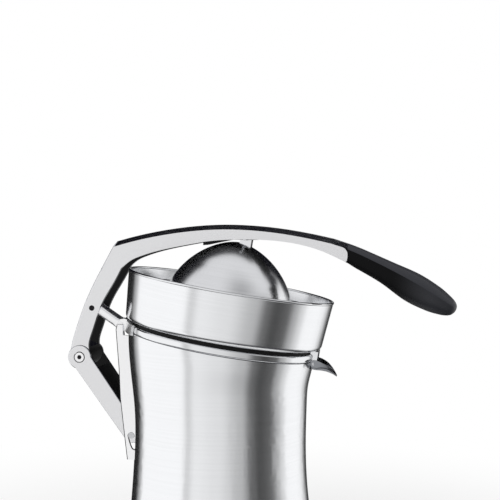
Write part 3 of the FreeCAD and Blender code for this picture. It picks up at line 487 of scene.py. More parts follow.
def even(piece: bpy.types.Object) -> None:
    """Let shading follow the large faces, so that a small round beside one doesn't tint it."""
    modifier = piece.modifiers.new("even", "WEIGHTED_NORMAL")
    modifier.mode = "FACE_AREA_WITH_ANGLE"
    modifier.keep_sharp = True
    modifier.weight = 80
    apply(piece, modifier)


def merged(node: str, name: str) -> Mesh:
    """A copy of a CAD node's mesh with its triangles joined and its stored normals dropped."""
    mesh = NODES[node].data.copy()
    mesh.name = name
    stored = mesh.attributes.get("custom_normal")
    if stored is not None:
        mesh.attributes.remove(stored)
    work = opened(mesh)
    bmesh.ops.remove_doubles(work, verts=work.verts, dist=WELD)
    bmesh.ops.dissolve_degenerate(work, edges=work.edges, dist=SLIVER)
    return keep(work, mesh)


def skin(node: str, degrees: float = 30.0,
         choose: Callable[[Vector, Vector], int] | None = None,
         finishes: tuple[Finish, ...] = (),
         reshape: Callable[[Vector], Vector] | None = None,
         rework: Callable[[Mesh], None] | None = None) -> bpy.types.Object:
    """Make a smooth copy of a CAD node's mesh that stands for it.

    Args:
        node: The CAD node.
        degrees: Angle past which an edge stays hard.
        choose: Picks a finish for a face from its centre, in millimetres, and its normal.
        finishes: The finishes that the picker chooses among.
        reshape: Moves a corner of the mesh, in millimetres.
        rework: Changes the mesh itself before it is dressed.

    Returns:
        The dressed copy.
    """
    mesh = merged(node, node + "_skin")
    if reshape is not None:
        for corner in mesh.vertices:
            corner.co = reshape(corner.co / MM) * MM
        mesh.update()
    if rework is not None:
        rework(mesh)
    mesh.materials.clear()
    for finish in finishes or (NODE_FINISH[node],):
        mesh.materials.append(finish.material())
    if choose is not None:
        for face in mesh.polygons:
            face.material_index = choose(face.center / MM, face.normal)
    smooth(mesh, degrees)
    piece = new_object(node + "_skin", mesh)
    piece.visible_glossy = node not in UNMIRRORED
    even(piece)
    return adopt(piece, node)


def on_head(point: Vector) -> Vector:
    """Carry a point from the head's own frame into the row frame."""
    return HEAD_CENTRE + HEAD_TURN @ point


def in_head(point: Vector) -> Pair:
    """A point's radius from the head's axis and height along it, in millimetres."""
    local = HEAD_TURN.transposed() @ (point - HEAD_CENTRE / MM)
    return math.hypot(local.x, local.y), local.z


def node_group(name: str, sizes: dict[str, float]) -> Tree:
    """Start a Geometry Nodes tree with named sizes and a material among its inputs.

    Args:
        name: Name of the tree.
        sizes: Name and default of each size, in metres, radians or counts.

    Returns:
        The tree, with its input and output nodes named Sizes and Result.
    """
    tree = bpy.data.node_groups.new(name, "GeometryNodeTree")
    tree.interface.new_socket("Geometry", in_out="INPUT", socket_type="NodeSocketGeometry")
    for label, value in sizes.items():
        kind = "NodeSocketInt" if isinstance(value, int) else "NodeSocketFloat"
        tree.interface.new_socket(label, in_out="INPUT", socket_type=kind).default_value = value
    tree.interface.new_socket("Finish", in_out="INPUT", socket_type="NodeSocketMaterial")
    tree.interface.new_socket("Geometry", in_out="OUTPUT", socket_type="NodeSocketGeometry")
    tree.nodes.new("NodeGroupInput").name = "Sizes"
    tree.nodes.new("NodeGroupOutput").name = "Result"
    return tree


def close_group(tree: Tree, shape: Node) -> None:
    """End a tree in Realize Instances and Set Material.

    Args:
        tree: The tree to end.
        shape: The node that has made its geometry.
    """
    real = add(tree, "GeometryNodeRealizeInstances", {"Geometry": shape})
    finish = tree.nodes["Sizes"].outputs["Finish"]
    dressed = add(tree, "GeometryNodeSetMaterial", {"Geometry": real, "Material": finish})
    tree.links.new(dressed.outputs[0], tree.nodes["Result"].inputs["Geometry"])


def close_on_head(tree: Tree, shape: Node) -> None:
    """End a tree whose geometry stands on Z, by leaning it onto the head's axis."""
    lean = add(tree, "ShaderNodeCombineXYZ", {"Y": tree.nodes["Sizes"].outputs["Tilt"]})
    close_group(tree, add(tree, "GeometryNodeTransform", {"Geometry": shape, "Rotation": lean,
                                                          "Translation": HEAD_CENTRE}))


def grown(start: Mesh, tree: Tree, finish: Finish, sizes: dict[str, float],
          degrees: float) -> bpy.types.Object:
    """Run a Geometry Nodes tree on a start mesh and keep the result as a plain mesh.

    Args:
        start: The mesh that it starts from, named for the piece.
        tree: The tree to run.
        finish: The finish of the result.
        sizes: The sizes to run it with.
        degrees: Angle past which an edge stays hard.

    Returns:
        The object, without a modifier.
    """
    piece = new_object(start.name, start)
    modifier = piece.modifiers.new("grow", "NODES")
    modifier.node_group = tree
    sockets = {item.name: item.identifier for item in tree.interface.items_tree
               if item.item_type == "SOCKET" and item.in_out == "INPUT"}
    for label, value in sizes.items():
        modifier[sockets[label]] = value
    modifier[sockets["Finish"]] = finish.material()
    apply(piece, modifier)
    piece.data.materials.clear()
    piece.data.materials.append(finish.material())
    smooth(piece.data, degrees)
    return piece


def turned(name: str, profile: Sequence[Pair], steps: int) -> Mesh:
    """Turn a closed outline about the head's axis.

    Args:
        name: Name of the mesh.
        profile: Radius and height pairs in millimetres, in order around the section.
        steps: Number of steps around.

    Returns:
        The closed mesh.
    """
    work = bmesh.new()
    rings = []
    for k in range(steps):
        angle = 2.0 * math.pi * k / steps
        points = [Vector((radius * math.cos(angle), radius * math.sin(angle), height))
                  for radius, height in profile]
        rings.append([work.verts.new(on_head(point * MM)) for point in points])
    bridged(work, rings + rings[:1])
    bmesh.ops.remove_doubles(work, verts=work.verts, dist=WELD)
    bmesh.ops.recalc_face_normals(work, faces=work.faces)
    return keep(work, bpy.data.meshes.new(name))


def four_seats(radius: float, start: float, height: float) -> list[Triple]:
    """Four seats on a circle about Z, the first at an angle in degrees."""
    angles = [math.radians(start + 90.0 * k) for k in range(4)]
    return [(radius * math.cos(angle), radius * math.sin(angle), height) for angle in angles]


def head_seat(u: float, v: float, w: float) -> Triple:
    """A seat given in the head's own frame, in millimetres of the row frame."""
    return tuple(on_head(Vector((u, v, w)) * MM) / MM)


@dataclass
class ScrewSet:
    """Socket screws of one size, repeated on their seats.

    Attributes:
        node: The CAD node that they stand for.
        seats: Where each head sits, in millimetres.
        outward: The way from a seat through the head.
        shank_length: Length below the seat.
        head_height: Height of the head.
        head_radius: Radius of the head.
        shank_radius: Radius of the shank.
        socket_radius: Corner radius of the hexagonal socket.
        socket_share: Depth of the socket, as a share of the head's height.
        hard_angle: Angle past which an edge stays hard.
    """

    node: str
    seats: Sequence[Triple]
    outward: Triple
    shank_length: float
    head_height: float = 2.4
    head_radius: float = 3.6
    shank_radius: float = 2.0
    socket_radius: float = 1.7
    socket_share: float = 0.6
    hard_angle: float = 30.0

    def sizes(self) -> dict[str, float]:
        """The sizes of one screw, in metres."""
        return {"Head Radius": self.head_radius * MM, "Head Height": self.head_height * MM,
                "Shank Radius": self.shank_radius * MM, "Shank Length": self.shank_length * MM,
                "Socket Radius": self.socket_radius * MM,
                "Socket Depth": self.head_height * self.socket_share * MM}

    def tree(self) -> Tree:
        """The Geometry Nodes tree that sets a screw on each point, or the one already made."""
        made = bpy.data.node_groups.get("socket_screws")
        if made is not None:
            return made
        tree = node_group("socket_screws", self.sizes())
        size = tree.nodes["Sizes"].outputs

        def cylinder(sides: int, radius: Socket, depth: object, middle: object) -> Node:
            """A cylinder on Z with its middle at a height."""
            solid = add(tree, "GeometryNodeMeshCylinder", {"Vertices": sides, "Radius": radius,
                                                           "Depth": depth})
            shift = add(tree, "ShaderNodeCombineXYZ", {"Z": middle})
            return add(tree, "GeometryNodeTransform", {"Geometry": solid, "Translation": shift})

        head = cylinder(32, size["Head Radius"], size["Head Height"],
                        maths(tree, "MULTIPLY", size["Head Height"], 0.5))
        socket = cylinder(6, size["Socket Radius"], maths(tree, "MULTIPLY", size["Socket Depth"], 2.0),
                          size["Head Height"])
        shank = cylinder(20, size["Shank Radius"], size["Shank Length"],
                         maths(tree, "MULTIPLY", size["Shank Length"], -0.5))
        drilled = add(tree, "GeometryNodeMeshBoolean", {"Mesh 1": head, "Mesh 2": socket},
                      operation="DIFFERENCE")
        screw = add(tree, "GeometryNodeJoinGeometry")
        for piece in (drilled, shank):
            tree.links.new(piece.outputs[0], screw.inputs["Geometry"])
        aim = add(tree, "GeometryNodeInputNamedAttribute", {"Name": "outward"}, data_type="FLOAT_VECTOR")
        turn = add(tree, "FunctionNodeAlignRotationToVector", {"Vector": aim.outputs["Attribute"]}, axis="Z")
        close_group(tree, add(tree, "GeometryNodeInstanceOnPoints", {
            "Points": size["Geometry"], "Instance": screw, "Rotation": turn}))
        return tree

    def build(self) -> None:
        """Set the screws on their seats and let them stand for their node."""
        mesh = bpy.data.meshes.new(self.node + "_socket")
        mesh.from_pydata([tuple(v * MM for v in seat) for seat in self.seats], [], [])
        ways = mesh.attributes.new("outward", "FLOAT_VECTOR", "POINT")
        for way in ways.data:
            way.vector = self.outward
        adopt(grown(mesh, self.tree(), NODE_FINISH[self.node], self.sizes(), self.hard_angle), self.node)


@dataclass
class Body:
    """The upright body: shell, trim, base, rear spine and their screws.

    Attributes:
        base_seats: Radius, first angle and height of the base screws' seats.
        deck_seats: The same for the deck screws, in the head's frame.
        spine_seats: X of the spine screws' seats, their half distance in Y, and their two heights.
        bracket_seats: X, half distance in Y and height of the bracket screws' seats, in the head's frame.
        edge_back: X of a normal below which a face of the spine looks back.
        edge_side: Y of a normal past which such a face is on a rounded edge.
        front: X of a normal past which a face of the spine looks at the body.
    """

    base_seats: Triple = (62.0, 0.0, 4.94)
    deck_seats: Triple = (64.0, 45.0, 2.2)
    spine_seats: tuple[float, float, Pair] = (-54.8, 11.0, (134.0, 172.0))
    bracket_seats: Triple = (-78.5, 4.2, 8.7)
    edge_back: float = -0.3
    edge_side: float = 0.1
    front: float = 0.6

    def screws(self) -> tuple[ScrewSet, ...]:
        """The sets of screws in the base, the deck, the spine and the bracket."""
        deck = [head_seat(*seat) for seat in four_seats(*self.deck_seats)]
        back, aside, heights = self.spine_seats
        spine = [(back, y, z) for y in (-aside, aside) for z in heights]
        u, v, w = self.bracket_seats
        bracket = [head_seat(u, side, w) for side in (-v, v)]
        backward = Vector((-1.0, 0.0, 0.0))
        return (
            ScrewSet("base_screws", four_seats(*self.base_seats), (0.0, 0.0, -1.0), shank_length=5.06),
            ScrewSet("deck_screws", deck, tuple(-HEAD_AXIS), shank_length=7.0),
            ScrewSet("spine_screws", spine, tuple(backward), shank_length=4.8, head_height=1.0),
            ScrewSet("bracket_screws", bracket, tuple(HEAD_TURN @ backward), shank_length=10.0),
        )

    def spine_face(self, centre: Vector, normal: Vector) -> int:
        """Painted shade in black oxide on the spine's rounded outer edges, buffed beside the body and bright
        elsewhere.
        """
        if normal.x < self.edge_back and abs(normal.y) > self.edge_side:
            return 2
        return 1 if normal.x > self.front else 0

    def build(self) -> None:
        """Dress the body's outer pieces."""
        for node in ("body_shell", "base_trim", "base_plate", "rubber_feet", "cord_gland"):
            skin(node)
        # The spine's rounded outer edges take painted shade in black oxide.
        skin("rear_spine", choose=self.spine_face, finishes=(BRIGHT_CAST, BUFFED_CAST, BLACK_OXIDE_AND_PAINTED_SHADE))
        for screws in self.screws():
            screws.build()


@dataclass
class Cone:
    """The juicing cone: four tall and four low ribs that follow one rule around it.

    Attributes:
        base: Height of its foot along the head's axis.
        height: Height from foot to tip.
        rib_radius: Foot radius over the ribs.
        core_radius: Foot radius between them.
        sharpness: How narrow the ribs are.
        low_share: Height of a low rib, as a share of a tall one.
        slimming: How much slimmer than a plain curve it is near the tip.
        low_fade: Shares of the height between which the low ribs fade out.
        around: Number of points round the cone.
        rings: Number of points from foot to tip.
        weld: Distance within which points are joined, in metres.
        foot: Radius and height pairs round the section of the flange and skirt.
        foot_steps: Number of steps round the flange.
        hard_angle: Angle past which an edge stays hard.
    """

    base: float = 36.0
    height: float = 45.0
    rib_radius: float = 34.6
    core_radius: float = 27.4
    sharpness: float = 9.0
    low_share: float = 0.5
    slimming: float = 0.25
    low_fade: Pair = (0.5, 0.85)
    around: int = 257
    rings: int = 49
    weld: float = 2e-6
    foot: tuple[Pair, ...] = (
        (12.6, 21.0), (14.2, 21.0), (14.2, 33.6), (36.1, 33.6), (36.5, 34.0), (36.5, 35.4),
        (35.9, 36.0), (26.0, 36.0), (12.6, 34.5),
    )
    foot_steps: int = 128
    hard_angle: float = 50.0

    def sizes(self) -> dict[str, float]:
        """The sizes of the ribbed part, in metres, radians and counts."""
        return {"Base": self.base * MM, "Height": self.height * MM, "Rib Radius": self.rib_radius * MM,
                "Core Radius": self.core_radius * MM, "Sharpness": self.sharpness,
                "Low Share": self.low_share, "Tilt": HEAD_TILT, "Around": self.around, "Rings": self.rings}

    def tree(self) -> Tree:
        """The Geometry Nodes tree that bends a grid round the cone's axis."""
        tree = node_group("ribbed_cone", self.sizes())
        size = tree.nodes["Sizes"].outputs
        rule = partial(maths, tree)
        grid = add(tree, "GeometryNodeMeshGrid", {"Size X": 1.0, "Size Y": 1.0, "Vertices X": size["Around"],
                                                  "Vertices Y": size["Rings"]})
        spot = add(tree, "ShaderNodeSeparateXYZ", {0: add(tree, "GeometryNodeInputPosition")}).outputs
        angle = rule("MULTIPLY", spot["X"], 2.0 * math.pi)
        left = rule("SUBTRACT", 0.5, spot["Y"])
        climb = rule("SUBTRACT", 1.0, rule("MULTIPLY", left, left))
        taper = rule("MULTIPLY", left, rule("MULTIPLY_ADD", climb, -self.slimming, 1.0))
        wave = rule("COSINE", rule("MULTIPLY", angle, 4.0))
        tall = rule("POWER", rule("MAXIMUM", wave, 0.0), size["Sharpness"])
        dip = rule("POWER", rule("MAXIMUM", rule("MULTIPLY", wave, -1.0), 0.0), size["Sharpness"])
        fade = ranged(tree, climb, *self.low_fade, 1.0, 0.0)
        low = rule("MULTIPLY", rule("MULTIPLY", dip, size["Low Share"]), fade)
        proud = rule("SUBTRACT", size["Rib Radius"], size["Core Radius"])
        rib = rule("MULTIPLY", proud, rule("ADD", tall, low))
        radius = rule("MULTIPLY", rule("ADD", size["Core Radius"], rib), taper)
        bent = add(tree, "ShaderNodeCombineXYZ", {
            "X": rule("MULTIPLY", radius, rule("COSINE", angle)),
            "Y": rule("MULTIPLY", radius, rule("SINE", angle)),
            "Z": rule("MULTIPLY_ADD", climb, size["Height"], size["Base"])})
        wrapped = add(tree, "GeometryNodeSetPosition", {"Geometry": grid, "Position": bent})
        joined = add(tree, "GeometryNodeMergeByDistance", {"Geometry": wrapped, "Distance": self.weld})
        close_on_head(tree, joined)
        return tree

    def build(self) -> None:
        """Build the ribbed cone with its flange and skirt."""
        start = bpy.data.meshes.new("cone_ribbed")
        piece = grown(start, self.tree(), BLACK_NYLON_AND_PAINTED_SHADE, self.sizes(), self.hard_angle)
        work = opened(piece.data)
        take_in(work, turned("cone_foot", self.foot, self.foot_steps))
        smooth(keep(work, piece.data), self.hard_angle)
        adopt(piece, "juicing_cone")


@dataclass
class Spring:
    """The return spring under the cone's shaft.

    Attributes:
        bottom: Height of the coil's lower end along the head's axis.
        height: Height of the coil between its end turns.
        radius: Radius of the coil.
        wire: Radius of the wire.
        turns: Number of turns.
        squeeze: How far the cone's travel shortens it; not used.
        turn_steps: Number of steps in one turn.
        wire_steps: Number of steps round the wire.
        hard_angle: Angle past which an edge stays hard.
    """

    bottom: float = 3.1
    height: float = 13.3
    radius: float = 6.0
    wire: float = 0.5
    turns: float = 7.0
    squeeze: float = 2.5
    turn_steps: int = 28
    wire_steps: int = 10
    hard_angle: float = 60.0

    def sizes(self) -> dict[str, float]:
        """The sizes of the coil, in metres, radians and counts."""
        return {"Radius": self.radius * MM, "Height": self.height * MM, "Wire": self.wire * MM,
                "Turns": self.turns, "Bottom": self.bottom * MM, "Tilt": HEAD_TILT}

    def tree(self) -> Tree:
        """The Geometry Nodes tree that sweeps a wire along a spiral."""
        tree = node_group("coil_spring", self.sizes())
        size = tree.nodes["Sizes"].outputs
        path = add(tree, "GeometryNodeCurveSpiral", {
            "Resolution": self.turn_steps, "Rotations": size["Turns"], "Start Radius": size["Radius"],
            "End Radius": size["Radius"], "Height": size["Height"]})
        ring = add(tree, "GeometryNodeCurvePrimitiveCircle", {"Resolution": self.wire_steps,
                                                              "Radius": size["Wire"]})
        swept = add(tree, "GeometryNodeCurveToMesh", {"Curve": path, "Profile Curve": ring,
                                                      "Fill Caps": True})
        up = add(tree, "ShaderNodeCombineXYZ", {"Z": size["Bottom"]})
        close_on_head(tree, add(tree, "GeometryNodeTransform", {"Geometry": swept, "Translation": up}))
        return tree

    def build(self) -> None:
        """Wind the spring, let it stand for the press spring and give it a mesh of its own."""
        start = bpy.data.meshes.new("spring_coil")
        piece = adopt(grown(start, self.tree(), GROUND_STEEL, self.sizes(), self.hard_angle), "press_spring")
        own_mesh(piece)


@dataclass
class Head:
    """The tilted head: collar, bowl, filter and press dome.

    Attributes:
        lip_bottom: Height above which the bowl's rolled lip is buffed.
        bead_reach: Radius of the circle that the bowl's rolled bead follows.
        bead_height: Height of that circle along the head's axis.
        bead_round: Radius of the bead's own section.
        section_steps: Number of steps round the bead's section.
        bead_steps: Number of steps round the bowl.
    """

    lip_bottom: float = 51.5
    bead_reach: float = 81.2
    bead_height: float = 52.6
    bead_round: float = 1.03
    section_steps: int = 24
    bead_steps: int = 256

    def rolled_bead(self, mesh: Mesh) -> None:
        """Put one even bead in the place of the uneven facets round the bowl's lip."""
        work = opened(mesh)
        old = [face for face in work.faces if all(self.on_bead(corner.co / MM) for corner in face.verts)]
        bmesh.ops.delete(work, geom=old, context="FACES")
        angles = [2.0 * math.pi * k / self.section_steps for k in range(self.section_steps)]
        section = [(self.bead_reach + self.bead_round * math.cos(angle),
                    self.bead_height + self.bead_round * math.sin(angle)) for angle in angles]
        take_in(work, turned("bead", section, self.bead_steps))
        keep(work, mesh)

    def on_bead(self, point: Vector) -> bool:
        """Whether a point lies on the bowl's rolled bead."""
        radius, height = in_head(point)
        return math.hypot(radius - self.bead_reach, height - self.bead_height) < self.bead_round

    def bowl_face(self, centre: Vector, normal: Vector) -> int:
        """Buffed on the bowl's lip and brushed elsewhere."""
        return 1 if in_head(centre)[1] > self.lip_bottom else 0

    def build(self) -> None:
        """Dress the head's pieces."""
        for node in ("top_collar", "bowl_seat", "filter_basket", "filter_wall", "dome_shell", "dome_stem"):
            skin(node)
        skin("juice_bowl", choose=self.bowl_face, finishes=(HEAD_STEEL, BUFFED_STEEL),
             rework=self.rolled_bead)


@dataclass
class Bracket:
    """The hinge bracket: a bright yoke round the collar and a rounded bar up to the hinge.

    Attributes:
        hinge: X and Z of the hinge's axis.
        knee: X and Z where the bar enters the yoke's block.
        half_depth: Half depth of the bar.
        half_width: Half width of the bar.
        eye_radius: Radius of the eye round the hinge pin.
        eye_steps: Number of steps round the eye's end.
        neck: Distance from the eye, and from the knee, at which the bar is plain.
        swell: How much deeper the bar is beside the eye.
        root: How far the bar runs on past the knee.
        flare: How much the bar grows where it enters the block.
        flare_steps: Number of steps along that growth.
        width_share: How much of the growth its width takes.
        cut: Distance from the knee at which the square bar is cut off.
        squareness: Squareness of the section; two is an ellipse.
        around: Number of points round the section.
        hard_angle: Angle past which an edge stays hard.
    """

    hinge: Pair = (-100.7, 208.0)
    knee: Pair = (-80.5, 194.6)
    half_depth: float = 4.0
    half_width: float = 8.2
    eye_radius: float = 4.5
    eye_steps: int = 8
    neck: float = 5.0
    swell: float = 0.1
    root: float = 2.0
    flare: float = 1.22
    flare_steps: int = 6
    width_share: float = 0.5
    cut: float = 1.5
    squareness: float = 3.4
    around: int = 48
    hard_angle: float = 35.0

    def _rings(self, length: float) -> list[Triple]:
        """Place along a bar of some length, half depth and half width of each section."""
        rings = []
        for k in range(1, self.eye_steps + 1):
            turn = math.radians(90.0 * k / self.eye_steps)
            rings.append((-self.eye_radius * math.cos(turn), self.eye_radius * math.sin(turn),
                          self.half_width))
        rings.append((self.neck, self.half_depth + self.swell, self.half_width))
        rings.append((length - self.neck, self.half_depth, self.half_width))
        for k in range(1, self.flare_steps + 1):
            share = k / self.flare_steps
            growth = (self.flare - 1.0) * share * share
            rings.append((length - self.neck + (self.neck + self.root) * share,
                          self.half_depth * (1.0 + growth),
                          self.half_width * (1.0 + growth * self.width_share)))
        return rings

    def build(self) -> None:
        """Keep the yoke and its block, and put the rounded bar in place of the square one."""
        start = Vector((self.hinge[0], 0.0, self.hinge[1]))
        bar = Vector((self.knee[0], 0.0, self.knee[1])) - start
        along = bar.normalized()
        up = Vector((-along.z, 0.0, along.x))
        work = bmesh.new()
        take_in(work, merged("hinge_bracket", "bracket_start"))
        square = [f for f in work.faces if f.calc_center_median().x / MM < self.knee[0] - self.cut]
        bmesh.ops.delete(work, geom=square, context="FACES")
        outline = [squared(2.0 * math.pi * k / self.around, self.squareness) for k in range(self.around)]
        loops = []
        for place, depth, width in self._rings(bar.length):
            points = [start + along * place + up * (rise * depth) + Vector((0.0, side * width, 0.0))
                      for side, rise in outline]
            loops.append([work.verts.new(point * MM) for point in points])
        ends = [work.faces.new(loops[0]), work.faces.new(loops[-1])]
        bmesh.ops.recalc_face_normals(work, faces=ends + bridged(work, loops))
        settle(work, "bracket_cast", "hinge_bracket", (NODE_FINISH["hinge_bracket"],), self.hard_angle)


@dataclass
class LeverArm:
    """The lever arm with its covers, knuckle and lower link.

    Attributes:
        plate_inside: Half width of the arm's channel.
        bevel_from: Half width of the crown's flat in the solid.
        bevel_to: Half width of the crown's flat as it is shown.
        bevel_match: How near to the flat's edge a corner has to be to belong to it.
        end_from: X past which the arm's front end lies.
        end_shift: How far that end runs on, along X and Z.
        link_inside: Half width between the link's plates.
        link_outside: Half width over the link's plates.
        knuckle: X and Z of the knuckle's axis.
        socket_reach: Corner radius of a knuckle screw's socket.
        socket_below: Depth under the plates' sides at which a socket takes painted shade.
        head_reach: Radius of a knuckle screw's head inside its bevelled rim.
        rim_depth: Depth of that rim.
        flat_side: Y of a normal past which a face lies on a flat side.
        middle: Half width of the strip along the arm's middle that the channel leaves out.
        wall: Y of a normal past which a face is a wall of the channel.
        roof: Z of a normal below which a face is the channel's roof, and the X where that roof ends.
        bend: X of a normal past which a face is the channel's back, and the Z where that back ends.
        hard_angle: Angle past which an edge stays hard.
    """

    plate_inside: float = 12.3
    bevel_from: float = 13.2
    bevel_to: float = 10.0
    bevel_match: float = 0.02
    end_from: float = 95.5
    end_shift: Pair = (5.2, -2.2)
    link_inside: float = 16.4
    link_outside: float = 19.1
    knuckle: Pair = (-110.0, 169.2)
    socket_reach: float = 2.0
    socket_below: float = 0.15
    head_reach: float = 3.7
    rim_depth: float = 0.3
    flat_side: float = 0.97
    middle: float = 0.5
    wall: float = 0.9
    roof: Pair = (-0.1, 90.0)
    bend: Pair = (0.6, 245.0)
    hard_angle: float = 25.0

    def arm_corner(self, corner: Vector) -> Vector:
        """Widen the bevel beside the arm's crown, and run its front end on over the grip."""
        moved = corner.copy()
        if abs(abs(corner.y) - self.bevel_from) < self.bevel_match:
            moved.y = math.copysign(self.bevel_to, corner.y)
        if corner.x > self.end_from:
            moved.x += self.end_shift[0]
            moved.z += self.end_shift[1]
        return moved

    def arm_face(self, centre: Vector, normal: Vector) -> int:
        """Satin on the arm's flat sides, black nylon as painted shade in its channel, and buffed on its
        edges.
        """
        between = abs(centre.y) < self.plate_inside and abs(centre.y) + abs(normal.y) > self.middle
        if between and self._in_channel(centre, normal):
            return 2
        return 0 if abs(normal.y) > self.flat_side else 1

    def _in_channel(self, centre: Vector, normal: Vector) -> bool:
        """Whether a face of the arm looks into its channel."""
        if abs(normal.y) > self.wall:
            return centre.y * normal.y < 0.0
        under = normal.z < self.roof[0] and centre.x < self.roof[1]
        return under or normal.x > self.bend[0] and centre.z < self.bend[1]

    def link_face(self, centre: Vector, normal: Vector) -> int:
        """Satin on the link's outer sides, buffed on its edges, and black nylon as painted shade inside."""
        if abs(centre.y) < self.link_inside:
            return 2
        return 0 if abs(normal.y) > self.flat_side else 1

    def _from_knuckle(self, point: Vector) -> float:
        """Distance of a point from the knuckle's axis."""
        return math.hypot(point.x - self.knuckle[0], point.z - self.knuckle[1])

    def screw_face(self, centre: Vector, normal: Vector) -> int:
        """Painted shade in the knuckle screws' sockets and a painted dark reflection round their rims, both
        in black oxide, and bright on their heads.
        """
        reach = self._from_knuckle(centre)
        in_socket = reach < self.socket_reach and abs(centre.y) < self.link_outside - self.socket_below
        return 1 if in_socket or reach > self.head_reach else 0

    def screw_corner(self, corner: Vector) -> Vector:
        """Bevel the rim of the knuckle screws' heads."""
        moved = corner.copy()
        reach = self._from_knuckle(corner)
        if reach > self.head_reach and abs(corner.y) > self.link_outside - self.rim_depth:
            moved.x = self.knuckle[0] + (corner.x - self.knuckle[0]) * self.head_reach / reach
            moved.z = self.knuckle[1] + (corner.z - self.knuckle[1]) * self.head_reach / reach
        return moved

    def build(self) -> None:
        """Dress the arm, its covers and the lower link."""
        # The third finish is painted shade on the faces inside the arm's and the link's channels.
        cast = (SATIN_CAST, BUFFED_CAST, BLACK_NYLON_AND_PAINTED_SHADE)
        skin("arm_frame", self.hard_angle, self.arm_face, cast, self.arm_corner)
        skin("lower_link", self.hard_angle, self.link_face, cast)
        # The knuckle screws take painted shade in their sockets and a painted dark reflection round their
        # rims.
        skin("knuckle_screws", self.hard_angle, self.screw_face, (BRIGHT_CAST, BLACK_OXIDE_AND_PAINTED_SHADE),
             self.screw_corner)
        for node in ("arm_cover", "dome_carrier", "link_cover", "hinge_pin", "guide_pin", "link_spacer",
                     "dome_pin"):
            skin(node)


